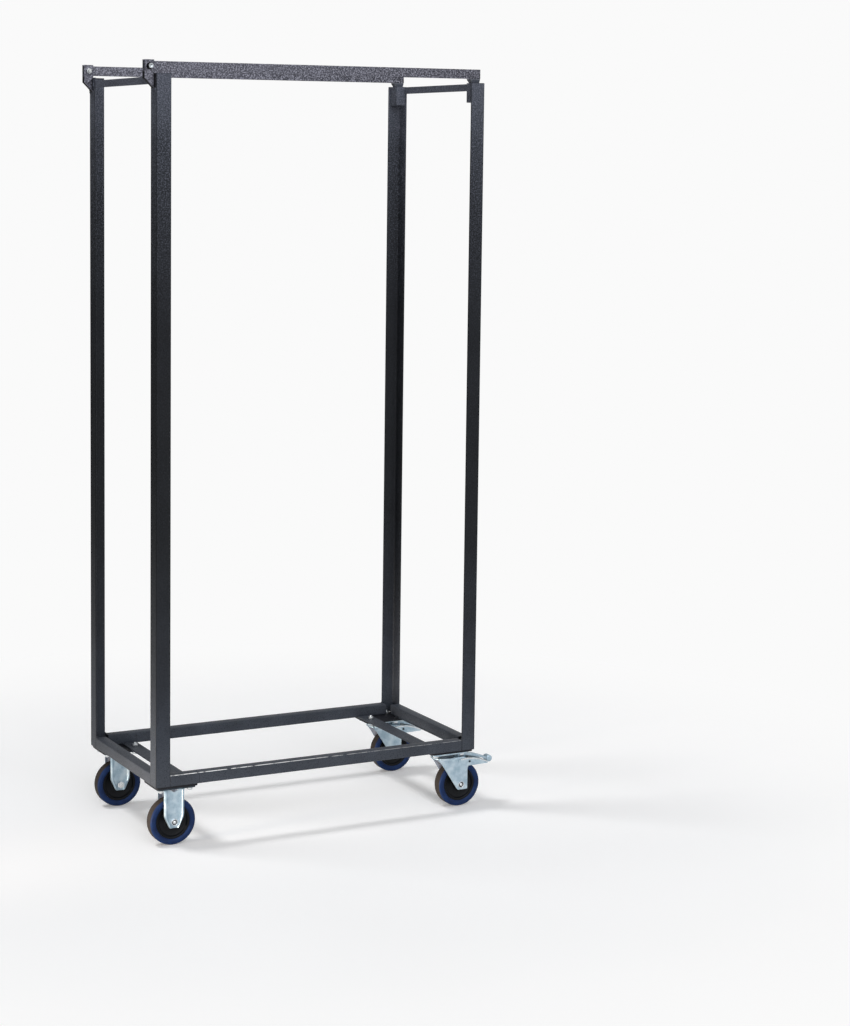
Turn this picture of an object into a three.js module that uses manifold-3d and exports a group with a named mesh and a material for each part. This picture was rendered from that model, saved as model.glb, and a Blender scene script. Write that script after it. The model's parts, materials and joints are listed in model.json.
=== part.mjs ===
import * as THREE from 'three';
import { mergeVertices } from 'three/addons/utils/BufferGeometryUtils.js';
import Module from 'manifold-3d';

// Tall four-post steel trolley that carries a stack between its posts.
// Millimetres, +Z up, the floor at z = 0, the long side along X, the open fronts at -Y and +Y.
// Two castors at the left end are fixed, two at the right end swivel and have a brake.
// Two lock bars close the top: each is hinged at its left end and drops a foot into a socket.

// Frame
const frameLength = 936;
const frameDepth = 490;
const postTop = 1985;
const weldGap = 0.3;
const cutOverrun = 5;

// Angle steel of the posts
const angleLeg = 40;
const angleWall = 4;
const angleRoot = 5;
const angleToe = 2;

// Square tube of the base
const baseTube = 30;
const baseTubeWall = 2.5;
const baseTubeCorner = 3;

// Flat steel across the base and at the top of both ends
const strapWidth = 40;
const strapThickness = 4;
const endRailHeight = 19;
const leftRailDrop = 8;
const rightRailDrop = 0.5;

// Castor pads and places
const padThickness = 5;
const padMargin = 6;
const padInset = 3;
const fixedInset = 60;
const swivelInset = 72;
const castorInset = 46;

// Castor plate and its bolts
const plateLength = 105;
const plateDepth = 85;
const plateThickness = 3.5;
const plateCorner = 6;
const boltPitchLong = 80;
const boltPitchDeep = 60;
const boltRadius = 4;
const boltHoleRadius = 4.5;
const boltFlats = 13;
const boltHeadHeight = 5.5;
const nutHeight = 6.5;

// Wheel, and the room between its tread and the top of the plate
const wheelRadius = 62.5;
const wheelClearance = 33;
const tyreHalfWidth = 17;
const tyreDepth = 16;
const tyreShoulder = 5;
const coreRimHalf = 14.5;
const coreRimDepth = 5;
const coreWebHalf = 6;
const hubHalfWidth = 21;
const hubRadius = 15;
const axleRadius = 5;
const axleHoleRadius = 5.3;
const runningGap = 0.05;
const axleFlats = 17;
const axleHeadHeight = 6;

// Fork legs
const legInner = 22;
const legWall = 3;
const legFold = 5;
const eyeFold = 3.5;
const legHalfWidth = 28;
const legFlare = 6;
const legFlareHeight = 8;
const legTaperRise = 12.5;
const eyeHalfWidth = 13.5;
const eyeDrop = 16.5;
const eyeShare = 0.85;
const notchWidth = 16;
const notchHeight = 8;

// Swivel head
const trail = 43;
const raceRadius = 34;
const raceHeight = 6.5;
const raceWall = 8;
const raceGap = 0.5;
const raceFlare = 2;
const lowerRaceBore = 18;
const lowerRaceRadius = 30;
const crownRadius = 33;
const crownThickness = 4;
const crownDrop = 13;
const kingpinRadius = 6;
const kingpinHeadRadius = 9;
const kingpinHeadHeight = 2.2;
const kingpinFlats = 19;
const kingpinNutHeight = 7.5;
const earRadius = 8.5;
const swivelEyeDrop = 14;
const swivelEyeFront = 13;
const swivelEyeBack = 20;
const swivelEyeCorner = 5;
const eyeTurnShare = 2.2;
const legFrontHalf = 23;
const heelDrop = 18.7;
const heelShoulderDrop = 12.8;
const crownFrontHalf = 27;

// Brake
const pedalPivotX = 68;
const pedalPivotDrop = 28.5;
const pedalReach = 127;
const pedalWall = 2;
const pedalSideGap = 0.3;
const pedalPinRadius = 3;
const leverRise = 15.3;
const leverTipHeight = 4;
const leverBelly = 11.9;
const leverBack = 34;
const leverWebStart = 10.2;
const leverWebThickness = 3;
const pedalTipDrop = 39.5;
const shoeWidth = 30;
const shoeInnerDrop = 36.3;
const shoeOuterDrop = 41.3;
const armPivotX = 44;
const armPivotDrop = 9.5;
const armPinRadius = 1.6;
const armEarBack = 6;
const armBarrelRadius = 3.1;
const armWidth = 20;
const armThickness = 2.5;
const knobOvershoot = 13;
const knobDrop = 32.5;
const knobRadius = 9.5;
const knobWidth = 24;
const knobRound = 4;

// Lock bars
const barHeight = 25;
const barThickness = 10;
const barEndInset = 4;
const barTailGap = 0.4;
const leftRise = 4.5;
const rightRise = 11;

// Hinge lugs
const lugReach = 26;
const lugWall = 2;
const lugSideGap = 0.5;
const lugAboveBar = 3.5;
const lugSide = 46;
const lugEarDrop = 2;
const hingeRadius = 4;
const hingeThread = 5;
const webBelowBar = 1.2;

// Sockets and feet
const socketWidth = 30;
const socketDepth = 36;
const socketHeight = 52;
const socketWall = 2.5;
const socketCorner = 4.6;
const socketBoreCorner = 2;
const footTopLeft = 19;
const footTopRight = 12;
const footTopDeepHalf = 13;
const pegHalf = 9.5;
const pegDeepHalf = 9;
const pegLength = 30;
const pegTip = 6;
const pegTipShare = 0.7;

// Facet counts
const wheelSteps = 36;
const coreSteps = 24;
const boreSteps = 24;
const smallSteps = 12;
const arcSteps = 3;
const shoulderSteps = 2;
const hexSides = 6;
const curveSteps = 8;

// Worked out from the sizes above
const left = -frameLength / 2;
const right = frameLength / 2;
const halfDepth = frameDepth / 2;
const castorHeight = 2 * wheelRadius + wheelClearance;
const padBottom = castorHeight + weldGap;
const padTop = padBottom + padThickness;
const frameBottom = padTop + weldGap;
const plateBottom = castorHeight - plateThickness;
const barInset = angleWall + weldGap + socketDepth / 2;
const lugHalf = barThickness / 2 + lugSideGap + lugWall;
const pivotX = left - lugReach / 2 - weldGap;
const pivotZ = postTop + leftRise + barHeight / 2;
const socketX = right - angleWall - weldGap - socketWidth / 2;
const barSpan = socketX - pivotX;
const barTilt = Math.asin((rightRise - leftRise) / barSpan);
const coreRadius = wheelRadius - tyreDepth;
const legOuter = legInner + legWall;
const pedalInner = legOuter + pedalSideGap;
const pedalOuter = pedalInner + pedalWall;
const crownTop = plateBottom - crownDrop;
const crownBottom = crownTop - crownThickness;
const pedalPivotZ = plateBottom - pedalPivotDrop;
const armPivotZ = plateBottom - armPivotDrop;
const knobX = pedalReach + knobOvershoot;
const brakeReach = knobX + knobRadius - swivelInset;
const centreShift = (lugReach - brakeReach) / 2;

const wasm = await Module();
wasm.setup();

const paint = { color: 0x454a55, roughness: 0.5, metalness: 0.25 };
const zinc = { color: 0xb9c4cc, roughness: 0.35, metalness: 0.85 };
const blueRubber = { color: 0x223c78, roughness: 0.7, metalness: 0 };
const blackNylon = { color: 0x17181a, roughness: 0.55, metalness: 0 };

function outline(points) {
  return new THREE.Shape(points.map(([x, y]) => new THREE.Vector2(x, y)));
}

function arc(centreX, centreY, radius, from, to, steps = arcSteps) {
  const points = [];
  for (let i = 0; i <= steps; i += 1) {
    const turn = from + ((to - from) * i) / steps;
    points.push([centreX + radius * Math.cos(turn), centreY + radius * Math.sin(turn)]);
  }
  return points;
}

function roundedRectangle(x0, x1, y0, y1, radius) {
  const quarter = Math.PI / 2;
  return [
    ...arc(x1 - radius, y0 + radius, radius, -quarter, 0),
    ...arc(x1 - radius, y1 - radius, radius, 0, quarter),
    ...arc(x0 + radius, y1 - radius, radius, quarter, 2 * quarter),
    ...arc(x0 + radius, y0 + radius, radius, 2 * quarter, 3 * quarter),
  ];
}

function rectangle(x0, x1, y0, y1) {
  return [[x0, y0], [x1, y0], [x1, y1], [x0, y1]];
}

function withHoles(shape, holes) {
  for (const points of holes) {
    shape.holes.push(new THREE.Path(points.map(([x, y]) => new THREE.Vector2(x, y))));
  }
  return shape;
}

function circle(x, y, radius, steps = smallSteps) {
  return arc(x, y, radius, 0, 2 * Math.PI, steps).slice(0, steps);
}

// An outline in X and Y, between two heights
function prismZ(shape, z0, z1) {
  const geometry = new THREE.ExtrudeGeometry(shape, { depth: z1 - z0, bevelEnabled: false });
  return geometry.translate(0, 0, z0);
}

// An outline in X and Z, between two depths
function prismY(shape, y0, y1) {
  const geometry = new THREE.ExtrudeGeometry(shape, { depth: y1 - y0, bevelEnabled: false });
  return geometry.rotateX(Math.PI / 2).translate(0, y1, 0);
}

// An outline in Y and Z, between two lengths
function prismX(shape, x0, x1) {
  const geometry = new THREE.ExtrudeGeometry(shape, { depth: x1 - x0, bevelEnabled: false });
  const turn = new THREE.Matrix4().makeBasis(
    new THREE.Vector3(0, 1, 0),
    new THREE.Vector3(0, 0, 1),
    new THREE.Vector3(1, 0, 0),
  );
  return geometry.applyMatrix4(turn).translate(x0, 0, 0);
}

function box(x0, x1, y0, y1, z0, z1) {
  return prismZ(outline(rectangle(x0, x1, y0, y1)), z0, z1);
}

function cylinderY(x, z, radius, y0, y1, steps = smallSteps) {
  return new THREE.CylinderGeometry(radius, radius, y1 - y0, steps).translate(x, (y0 + y1) / 2, z);
}

function cylinderZ(x, y, radius, z0, z1, steps = smallSteps) {
  const geometry = new THREE.CylinderGeometry(radius, radius, z1 - z0, steps).rotateX(Math.PI / 2);
  return geometry.translate(x, y, (z0 + z1) / 2);
}

function hexRadius(flats) {
  return flats / Math.sqrt(3);
}

// Corner radius of a faceted bore whose flats clear a round pin
function boreRadius(pinRadius) {
  return (pinRadius + runningGap) / Math.cos(Math.PI / boreSteps);
}

function latheY(points, steps) {
  return new THREE.LatheGeometry(points.map(([r, y]) => new THREE.Vector2(r, y)), steps);
}

function latheZ(points, steps) {
  return latheY(points, steps).rotateX(Math.PI / 2);
}

// A closed body through rings of points, one above the other
function loft(rings) {
  const count = rings[0].length;
  const positions = rings.flat(2);
  const flat = rings[0].map(([x, y]) => new THREE.Vector2(x, y));
  const cap = THREE.ShapeUtils.triangulateShape(flat, []);
  const top = (rings.length - 1) * count;
  const index = [];
  for (const [a, b, c] of cap) {
    index.push(c, b, a, top + a, top + b, top + c);
  }
  for (let k = 0; k < rings.length - 1; k += 1) {
    for (let i = 0; i < count; i += 1) {
      const next = (i + 1) % count;
      const low = k * count;
      const high = low + count;
      index.push(low + i, low + next, high + next, low + i, high + next, high + i);
    }
  }
  const geometry = new THREE.BufferGeometry();
  geometry.setAttribute('position', new THREE.Float32BufferAttribute(positions, 3));
  geometry.setIndex(index);
  return geometry;
}

function toSolid(geometry) {
  const bare = geometry.clone();
  bare.deleteAttribute('normal');
  bare.deleteAttribute('uv');
  const merged = mergeVertices(bare);
  const corners = merged.index.array;
  const kept = [];
  for (let i = 0; i < corners.length; i += 3) {
    const [a, b, c] = [corners[i], corners[i + 1], corners[i + 2]];
    if (a !== b && b !== c && c !== a) {
      kept.push(a, b, c);
    }
  }
  const vertProperties = new Float32Array(merged.attributes.position.array);
  const triVerts = new Uint32Array(kept);
  return new wasm.Manifold(new wasm.Mesh({ numProp: 3, vertProperties, triVerts }));
}

function toGeometry(solid) {
  const { vertProperties, triVerts } = solid.getMesh();
  const geometry = new THREE.BufferGeometry();
  geometry.setAttribute('position', new THREE.BufferAttribute(vertProperties, 3));
  geometry.setIndex(new THREE.BufferAttribute(triVerts, 1));
  geometry.computeVertexNormals();
  return geometry;
}

function joined(geometries, cuts = []) {
  let solid = toSolid(geometries[0]);
  for (const geometry of geometries.slice(1)) {
    solid = solid.add(toSolid(geometry));
  }
  for (const geometry of cuts) {
    solid = solid.subtract(toSolid(geometry));
  }
  return toGeometry(solid);
}

function piece(name, geometry, finish) {
  const mesh = new THREE.Mesh(geometry, new THREE.MeshStandardMaterial(finish));
  mesh.name = name;
  return mesh;
}

// Posts: hot-rolled angle with its corner outwards, a round root and round toes
function angleSection(endX, sideY) {
  const quarter = Math.PI / 2;
  const toe = angleWall - angleToe;
  const root = angleWall + angleRoot;
  const points = [
    [0, 0],
    [angleLeg, 0],
    ...arc(angleLeg - angleToe, toe, angleToe, 0, quarter),
    ...arc(root, root, angleRoot, 3 * quarter, 2 * quarter),
    ...arc(toe, angleLeg - angleToe, angleToe, 0, quarter),
    [0, angleLeg],
  ];
  return outline(points.map(([u, v]) => [endX * (right - u), sideY * (halfDepth - v)]));
}

function post(name, endX, sideY) {
  return piece(name, prismZ(angleSection(endX, sideY), frameBottom, postTop), paint);
}

// Base: four square tubes between the posts, flush with them outside
function tubeSection(x0, x1, y0, y1) {
  const inner = baseTubeCorner - baseTubeWall / 2;
  const hole = roundedRectangle(
    x0 + baseTubeWall, x1 - baseTubeWall, y0 + baseTubeWall, y1 - baseTubeWall, inner,
  );
  return withHoles(outline(roundedRectangle(x0, x1, y0, y1, baseTubeCorner)), [hole]);
}

function sideRail(name, sideY) {
  const y0 = sideY < 0 ? -halfDepth : halfDepth - baseTube;
  const section = tubeSection(y0, y0 + baseTube, frameBottom, frameBottom + baseTube);
  const reach = right - angleLeg - weldGap;
  return piece(name, prismX(section, -reach, reach), paint);
}

function endRail(name, endX) {
  const x0 = endX < 0 ? left : right - baseTube;
  const section = tubeSection(x0, x0 + baseTube, frameBottom, frameBottom + baseTube);
  const reach = halfDepth - angleLeg - weldGap;
  return piece(name, prismY(section, -reach, reach), paint);
}

function castorPlaces() {
  return [
    { name: 'front_left', x: left + fixedInset, endX: -1, sideY: -1 },
    { name: 'rear_left', x: left + fixedInset, endX: -1, sideY: 1 },
    { name: 'front_right', x: right - swivelInset, endX: 1, sideY: -1 },
    { name: 'rear_right', x: right - swivelInset, endX: 1, sideY: 1 },
  ].map((place) => ({ ...place, y: place.sideY * (halfDepth - castorInset) }));
}

function boltPlaces() {
  const places = [];
  for (const alongX of [-1, 1]) {
    for (const alongY of [-1, 1]) {
      places.push([(alongX * boltPitchLong) / 2, (alongY * boltPitchDeep) / 2, alongX, alongY]);
    }
  }
  return places;
}

// Pads under the corners, which take the castors' bolts
function castorPad({ name, x, y, endX, sideY }) {
  const outerX = endX * (right - padInset);
  const innerX = x - endX * (plateLength / 2 + padMargin);
  const outerY = sideY * (halfDepth - padInset);
  const innerY = y - sideY * (plateDepth / 2 + padMargin);
  const [x0, x1] = [Math.min(outerX, innerX), Math.max(outerX, innerX)];
  const [y0, y1] = [Math.min(outerY, innerY), Math.max(outerY, innerY)];
  const shape = outline(roundedRectangle(x0, x1, y0, y1, plateCorner));
  const holes = boltPlaces().map(([dx, dy]) => circle(x + dx, y + dy, boltHoleRadius));
  return piece(`${name}_castor_pad`, prismZ(withHoles(shape, holes), padBottom, padTop), paint);
}

// Flat straps from rail to rail, over the castors' inner bolts
function crossStrap(name, endX) {
  const inset = endX < 0 ? fixedInset : swivelInset;
  const x = endX * (right - inset - boltPitchLong / 2);
  const reach = halfDepth - baseTube - weldGap;
  const shape = outline(rectangle(x - strapWidth / 2, x + strapWidth / 2, -reach, reach));
  const holeY = halfDepth - castorInset - boltPitchDeep / 2;
  const holes = [-1, 1].map((side) => circle(x, side * holeY, boltHoleRadius));
  const top = frameBottom + strapThickness;
  return piece(name, prismZ(withHoles(shape, holes), frameBottom, top), paint);
}

// Flat rails that tie the posts together at the top of each end
function topRail(name, endX, drop) {
  const x0 = endX < 0 ? left : right - angleWall;
  const reach = halfDepth - angleLeg - weldGap;
  const top = postTop - drop;
  return piece(name, box(x0, x0 + angleWall, -reach, reach, top - endRailHeight, top), paint);
}

// Hinge lug: a folded bracket on the post's left face. Its outer cheek runs down to the chamfer
// and folds into an ear on the post, its inner cheek ends in a point, and a web joins them.
function hingeLug(name, sideY) {
  const inner = left - weldGap;
  const outer = left - lugReach;
  const top = postTop + leftRise + barHeight + lugAboveBar;
  const sideEnd = top - lugSide;
  const foot = sideEnd - (inner - outer);
  const webTop = postTop + leftRise - webBelowBar;
  const fold = lugWall * Math.SQRT2;
  const tipX = outer + (inner - outer + sideEnd - postTop) / 2;
  const tipZ = postTop - (inner - tipX);
  const outerCheek = outline([[outer, sideEnd], [inner, foot], [inner, top], [outer, top]]);
  const innerCheek = outline([
    [outer, sideEnd], [tipX, tipZ], [inner, postTop], [inner, top], [outer, top],
  ]);
  const web = outline([
    [outer, sideEnd], [inner, foot], [inner, foot + fold],
    [outer + lugWall, sideEnd + fold - lugWall], [outer + lugWall, webTop], [outer, webTop],
  ]);
  const reach = lugHalf + cutOverrun;
  const hole = cylinderY(pivotX, pivotZ, hingeRadius + weldGap, -reach, reach);
  const earReach = barInset - lugHalf - angleToe;
  const ear = box(
    inner - lugWall, inner, -lugHalf - earReach, -lugHalf + lugWall, foot + lugWall, postTop - lugEarDrop,
  );
  const lug = joined(
    [
      prismY(outerCheek, -lugHalf, -lugHalf + lugWall),
      prismY(innerCheek, lugHalf - lugWall, lugHalf),
      prismY(web, -lugHalf, lugHalf),
      ear,
    ],
    [hole],
  );
  const facing = sideY < 0 ? lug : mirroredY(lug);
  return piece(name, facing.translate(0, sideY * (halfDepth - barInset), 0), paint);
}

function mirroredY(geometry) {
  const mirrored = geometry.clone().scale(1, -1, 1);
  const corners = mirrored.index.array;
  for (let i = 0; i < corners.length; i += 3) {
    [corners[i], corners[i + 1]] = [corners[i + 1], corners[i]];
  }
  mirrored.computeVertexNormals();
  return mirrored;
}

// Hinge bolt with its head outside, and its nut inside
function hingeBolt(name, sideY) {
  const y = sideY * (halfDepth - barInset);
  const head = sideY * (lugHalf + weldGap);
  const headEnd = head + sideY * boltHeadHeight;
  const end = -sideY * (lugHalf + weldGap + nutHeight + hingeThread);
  const [h0, h1] = [Math.min(head, headEnd), Math.max(head, headEnd)];
  const [s0, s1] = [Math.min(head, end), Math.max(head, end)];
  const bolt = joined([
    cylinderY(pivotX, pivotZ, hexRadius(boltFlats), h0, h1, hexSides),
    cylinderY(pivotX, pivotZ, hingeRadius, s0 - weldGap, s1 + weldGap, boreSteps),
  ]);
  return piece(name, bolt.translate(0, y, 0), zinc);
}

function hingeNut(name, sideY) {
  const y = sideY * (halfDepth - barInset);
  const face = -sideY * (lugHalf + weldGap);
  const end = face - sideY * nutHeight;
  const [n0, n1] = [Math.min(face, end), Math.max(face, end)];
  const nut = joined(
    [cylinderY(pivotX, pivotZ, hexRadius(boltFlats), n0, n1, hexSides)],
    [cylinderY(pivotX, pivotZ, hingeRadius + weldGap, n0 - cutOverrun, n1 + cutOverrun)],
  );
  return piece(name, nut.translate(0, y, 0), zinc);
}

// Lock bar about its hinge: square above the pivot at the tail, round below it
function lockBar(name) {
  const half = barHeight / 2;
  const tail = lugReach / 2 - barTailGap;
  const end = right - barEndInset - pivotX;
  const round = arc(0, 0, tail, Math.PI, 1.5 * Math.PI, curveSteps);
  const shape = outline([...round, [0, -half], [end, -half], [end, half], [-tail, half]]);
  withHoles(shape, [circle(0, 0, boreRadius(hingeRadius), boreSteps)]);
  return piece(name, prismY(shape, -barThickness / 2, barThickness / 2), paint);
}

function ringRectangle(toLeft, toRight, halfY, z) {
  return rectangle(barSpan - toLeft, barSpan + toRight, -halfY, halfY).map(([x, y]) => [x, y, z]);
}

// Foot under the bar: a funnel that seats on the socket's mouth, and a peg below it
function barFoot(name) {
  const top = -barHeight / 2 - weldGap;
  const mouthHalf = socketWidth / 2 - socketWall - weldGap;
  const share = (footTopLeft - pegHalf) / (footTopLeft - mouthHalf);
  const taperEnd = top - (rightRise - weldGap) * share;
  const pegEnd = taperEnd - pegLength;
  const tipHalf = pegHalf * pegTipShare;
  return piece(name, loft([
    ringRectangle(tipHalf, tipHalf, pegDeepHalf * pegTipShare, pegEnd - pegTip),
    ringRectangle(pegHalf, pegHalf, pegDeepHalf, pegEnd),
    ringRectangle(pegHalf, pegHalf, pegDeepHalf, taperEnd),
    ringRectangle(footTopLeft, footTopRight, footTopDeepHalf, top),
  ]), paint);
}

function barGroup(side, sideY) {
  const group = new THREE.Group();
  group.position.set(pivotX, sideY * (halfDepth - barInset), pivotZ);
  group.rotation.y = -barTilt;
  group.add(lockBar(`${side}_lock_bar`), barFoot(`${side}_bar_foot`));
  return group;
}

// Socket: a short tube in the corner of a right-hand post, level with its top
function socket(name, sideY) {
  const y = sideY * (halfDepth - barInset);
  const [halfX, halfY] = [socketWidth / 2, socketDepth / 2];
  const [x0, x1, y0, y1] = [socketX - halfX, socketX + halfX, y - halfY, y + halfY];
  const shape = outline(roundedRectangle(x0, x1, y0, y1, socketCorner));
  const [boreX, boreY] = [halfX - socketWall, halfY - socketWall];
  const hole = roundedRectangle(socketX - boreX, socketX + boreX, y - boreY, y + boreY, socketBoreCorner);
  return piece(name, prismZ(withHoles(shape, [hole]), postTop - socketHeight, postTop), paint);
}

// Castor plate with its four bolts. A bolt under a tube ends in the pad, the others carry a nut.
function boltBody([dx, dy, alongX, alongY], endX, sideY) {
  const outerX = alongX === endX;
  const outerY = alongY === sideY;
  const hex = hexRadius(boltFlats);
  const parts = [
    cylinderZ(dx, dy, hex, plateBottom - boltHeadHeight, plateBottom + weldGap, hexSides),
  ];
  if (outerX !== outerY) {
    parts.push(cylinderZ(dx, dy, boltRadius, plateBottom, padTop - weldGap, smallSteps));
    return parts;
  }
  const seat = outerX ? padTop + weldGap : frameBottom + strapThickness + weldGap;
  parts.push(cylinderZ(dx, dy, boltRadius, plateBottom, seat + nutHeight + boltRadius, smallSteps));
  parts.push(cylinderZ(dx, dy, hex, seat, seat + nutHeight, hexSides));
  return parts;
}

function plateParts({ endX, sideY }) {
  const [halfX, halfY] = [plateLength / 2, plateDepth / 2];
  const shape = outline(roundedRectangle(-halfX, halfX, -halfY, halfY, plateCorner));
  const bolts = boltPlaces().flatMap((place) => boltBody(place, endX, sideY));
  return [prismZ(shape, plateBottom, castorHeight), ...bolts];
}

// Pressed leg of a fixed fork: a flat panel with folded edges, tapered down to a round eye
function pressedLeg(sideY) {
  const ring = (z, half, fold = legFold) => {
    const panel = half - fold;
    const [near, far] = [legOuter - fold, legOuter];
    const back = far - legWall;
    const tip = legWall * Math.SQRT2;
    const corner = legWall * (Math.SQRT2 - 1);
    const points = [
      [-half, near], [-half + tip, near], [-panel + corner, back], [panel - corner, back],
      [half - tip, near], [half, near], [panel, far], [-panel, far],
    ];
    const turned = sideY > 0 ? points : points.map(([x, y]) => [x, -y]).reverse();
    return turned.map(([x, y]) => [x, y, z]);
  };
  const eyeBottom = wheelRadius - eyeDrop;
  return loft([
    ring(eyeBottom, eyeHalfWidth / 2 + legWall, eyeFold),
    ring(eyeBottom + eyeDrop / 8, eyeHalfWidth * eyeShare, eyeFold),
    ring(eyeBottom + eyeDrop / 3, eyeHalfWidth, eyeFold),
    ring(wheelRadius + legTaperRise, legHalfWidth),
    ring(plateBottom - legFlareHeight, legHalfWidth),
    ring(plateBottom + weldGap, legHalfWidth + legFlare),
  ]);
}

function fixedFork(place) {
  const notchTop = plateBottom;
  const notch = outline([
    [-notchWidth / 2, notchTop], [0, notchTop - notchHeight], [notchWidth / 2, notchTop],
  ]);
  const reach = legOuter + cutOverrun;
  const cuts = [
    cylinderY(0, wheelRadius, axleHoleRadius, -reach, reach),
    prismY(notch, -reach, -legInner + legFold / 2),
    prismY(notch, legInner - legFold / 2, reach),
  ];
  const fork = joined([...plateParts(place), pressedLeg(-1), pressedLeg(1)], cuts);
  return piece(`${place.name}_castor_fork`, fork, zinc);
}

// Wheel: a nylon core with a dished web, and an elastic tyre on its rim
function wheelCore(name) {
  const bore = boreRadius(axleRadius);
  const rimInner = coreRadius - coreRimDepth;
  const chamfer = coreRimDepth / 3;
  const half = [
    [bore, hubHalfWidth],
    [hubRadius - chamfer, hubHalfWidth],
    [hubRadius, hubHalfWidth - chamfer],
    [hubRadius + chamfer, coreWebHalf],
    [rimInner - chamfer, coreWebHalf],
    [rimInner, coreRimHalf],
    [coreRadius, coreRimHalf],
  ];
  const lower = half.map(([r, y]) => [r, -y]);
  const profile = [...lower, ...half.reverse(), lower[0]];
  return piece(name, latheY(profile, coreSteps), blackNylon);
}

function tyre(name) {
  const inner = coreRadius + weldGap;
  const shoulder = wheelRadius - tyreShoulder;
  const flank = tyreHalfWidth - tyreShoulder;
  const bottom = arc(shoulder, -flank, tyreShoulder, -Math.PI / 2, 0, shoulderSteps);
  const top = arc(shoulder, flank, tyreShoulder, 0, Math.PI / 2, shoulderSteps);
  const profile = [[inner, -coreRimHalf], ...bottom, ...top, [inner, coreRimHalf], [inner, -coreRimHalf]];
  return piece(name, latheY(profile, wheelSteps), blueRubber);
}

function axleBolt(name, x, sideY) {
  const face = sideY * (legOuter + weldGap);
  const head = face + sideY * axleHeadHeight;
  const end = -sideY * (legOuter + weldGap + axleHeadHeight + axleRadius / 2);
  const [h0, h1] = [Math.min(face, head), Math.max(face, head)];
  const shank = sideY < 0 ? [face - weldGap, end] : [end, face + weldGap];
  return piece(name, joined([
    cylinderY(x, wheelRadius, hexRadius(axleFlats), h0, h1, hexSides),
    cylinderY(x, wheelRadius, axleRadius, shank[0], shank[1], boreSteps),
  ]), zinc);
}

function axleNut(name, x, sideY) {
  const face = -sideY * (legOuter + weldGap);
  const end = face - sideY * axleHeadHeight;
  const [n0, n1] = [Math.min(face, end), Math.max(face, end)];
  return piece(name, joined(
    [cylinderY(x, wheelRadius, hexRadius(axleFlats), n0, n1, hexSides)],
    [cylinderY(x, wheelRadius, axleRadius + weldGap, n0 - cutOverrun, n1 + cutOverrun)],
  ), zinc);
}

function wheelParts(name, x, sideY) {
  const wheel = new THREE.Group();
  wheel.position.set(x, 0, wheelRadius);
  wheel.add(wheelCore(`${name}_wheel_core`), tyre(`${name}_tyre`));
  return [wheel, axleBolt(`${name}_axle_bolt`, x, sideY), axleNut(`${name}_axle_nut`, x, sideY)];
}

function fixedCastor(place) {
  const group = new THREE.Group();
  group.position.set(place.x, place.y, 0);
  group.add(fixedFork(place), ...wheelParts(place.name, 0, place.sideY));
  return group;
}

// Swivel head: the plate holds the upper race, the fork's crown the lower one, round a kingpin
function swivelPlate(place) {
  const raceBottom = plateBottom - raceHeight;
  const race = latheZ([
    [raceRadius - raceWall, raceBottom],
    [raceRadius, raceBottom],
    [raceRadius + raceFlare, plateBottom + weldGap],
    [raceRadius - raceWall, plateBottom + weldGap],
    [raceRadius - raceWall, raceBottom],
  ], coreSteps);
  const cuts = [
    cylinderZ(0, 0, kingpinRadius + weldGap, raceBottom, castorHeight + cutOverrun),
    cylinderZ(
      0, 0, kingpinHeadRadius + weldGap,
      castorHeight - kingpinHeadHeight - 2 * weldGap, castorHeight + cutOverrun,
    ),
  ];
  return piece(`${place.name}_swivel_plate`, joined([...plateParts(place), race], cuts), zinc);
}

function kingpin(name) {
  const headTop = castorHeight - weldGap;
  const headBottom = headTop - kingpinHeadHeight;
  const nutTop = crownBottom - weldGap;
  const nutBottom = nutTop - kingpinNutHeight;
  return piece(name, joined([
    cylinderZ(0, 0, kingpinHeadRadius, headBottom, headTop),
    cylinderZ(0, 0, kingpinRadius, nutBottom - kingpinRadius / 2, headTop - weldGap, boreSteps),
    cylinderZ(0, 0, hexRadius(kingpinFlats), nutBottom, nutTop, hexSides),
  ]), zinc);
}

// Leg of a swivel fork: a straight front edge down to the eye, and an ear for the brake
function swivelLeg() {
  const quarter = Math.PI / 2;
  const heel = trail + swivelEyeBack;
  const corner = swivelEyeCorner;
  const cornerZ = wheelRadius - swivelEyeDrop + corner;
  const eyeFront = arc(
    trail - swivelEyeFront + corner, cornerZ, corner, eyeTurnShare * quarter, 3 * quarter, arcSteps,
  );
  const eyeBack = arc(heel - corner, cornerZ, corner, -quarter, 0, arcSteps);
  const ear = arc(pedalPivotX, pedalPivotZ, earRadius, -quarter, quarter, curveSteps);
  return outline([
    [-legFrontHalf, crownTop],
    [-legFrontHalf, crownBottom - legWall],
    ...eyeFront,
    ...eyeBack,
    [heel, pedalPivotZ - heelDrop],
    [heel + legWall, pedalPivotZ - heelShoulderDrop],
    ...ear,
    [trail, crownTop],
  ]);
}

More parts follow.
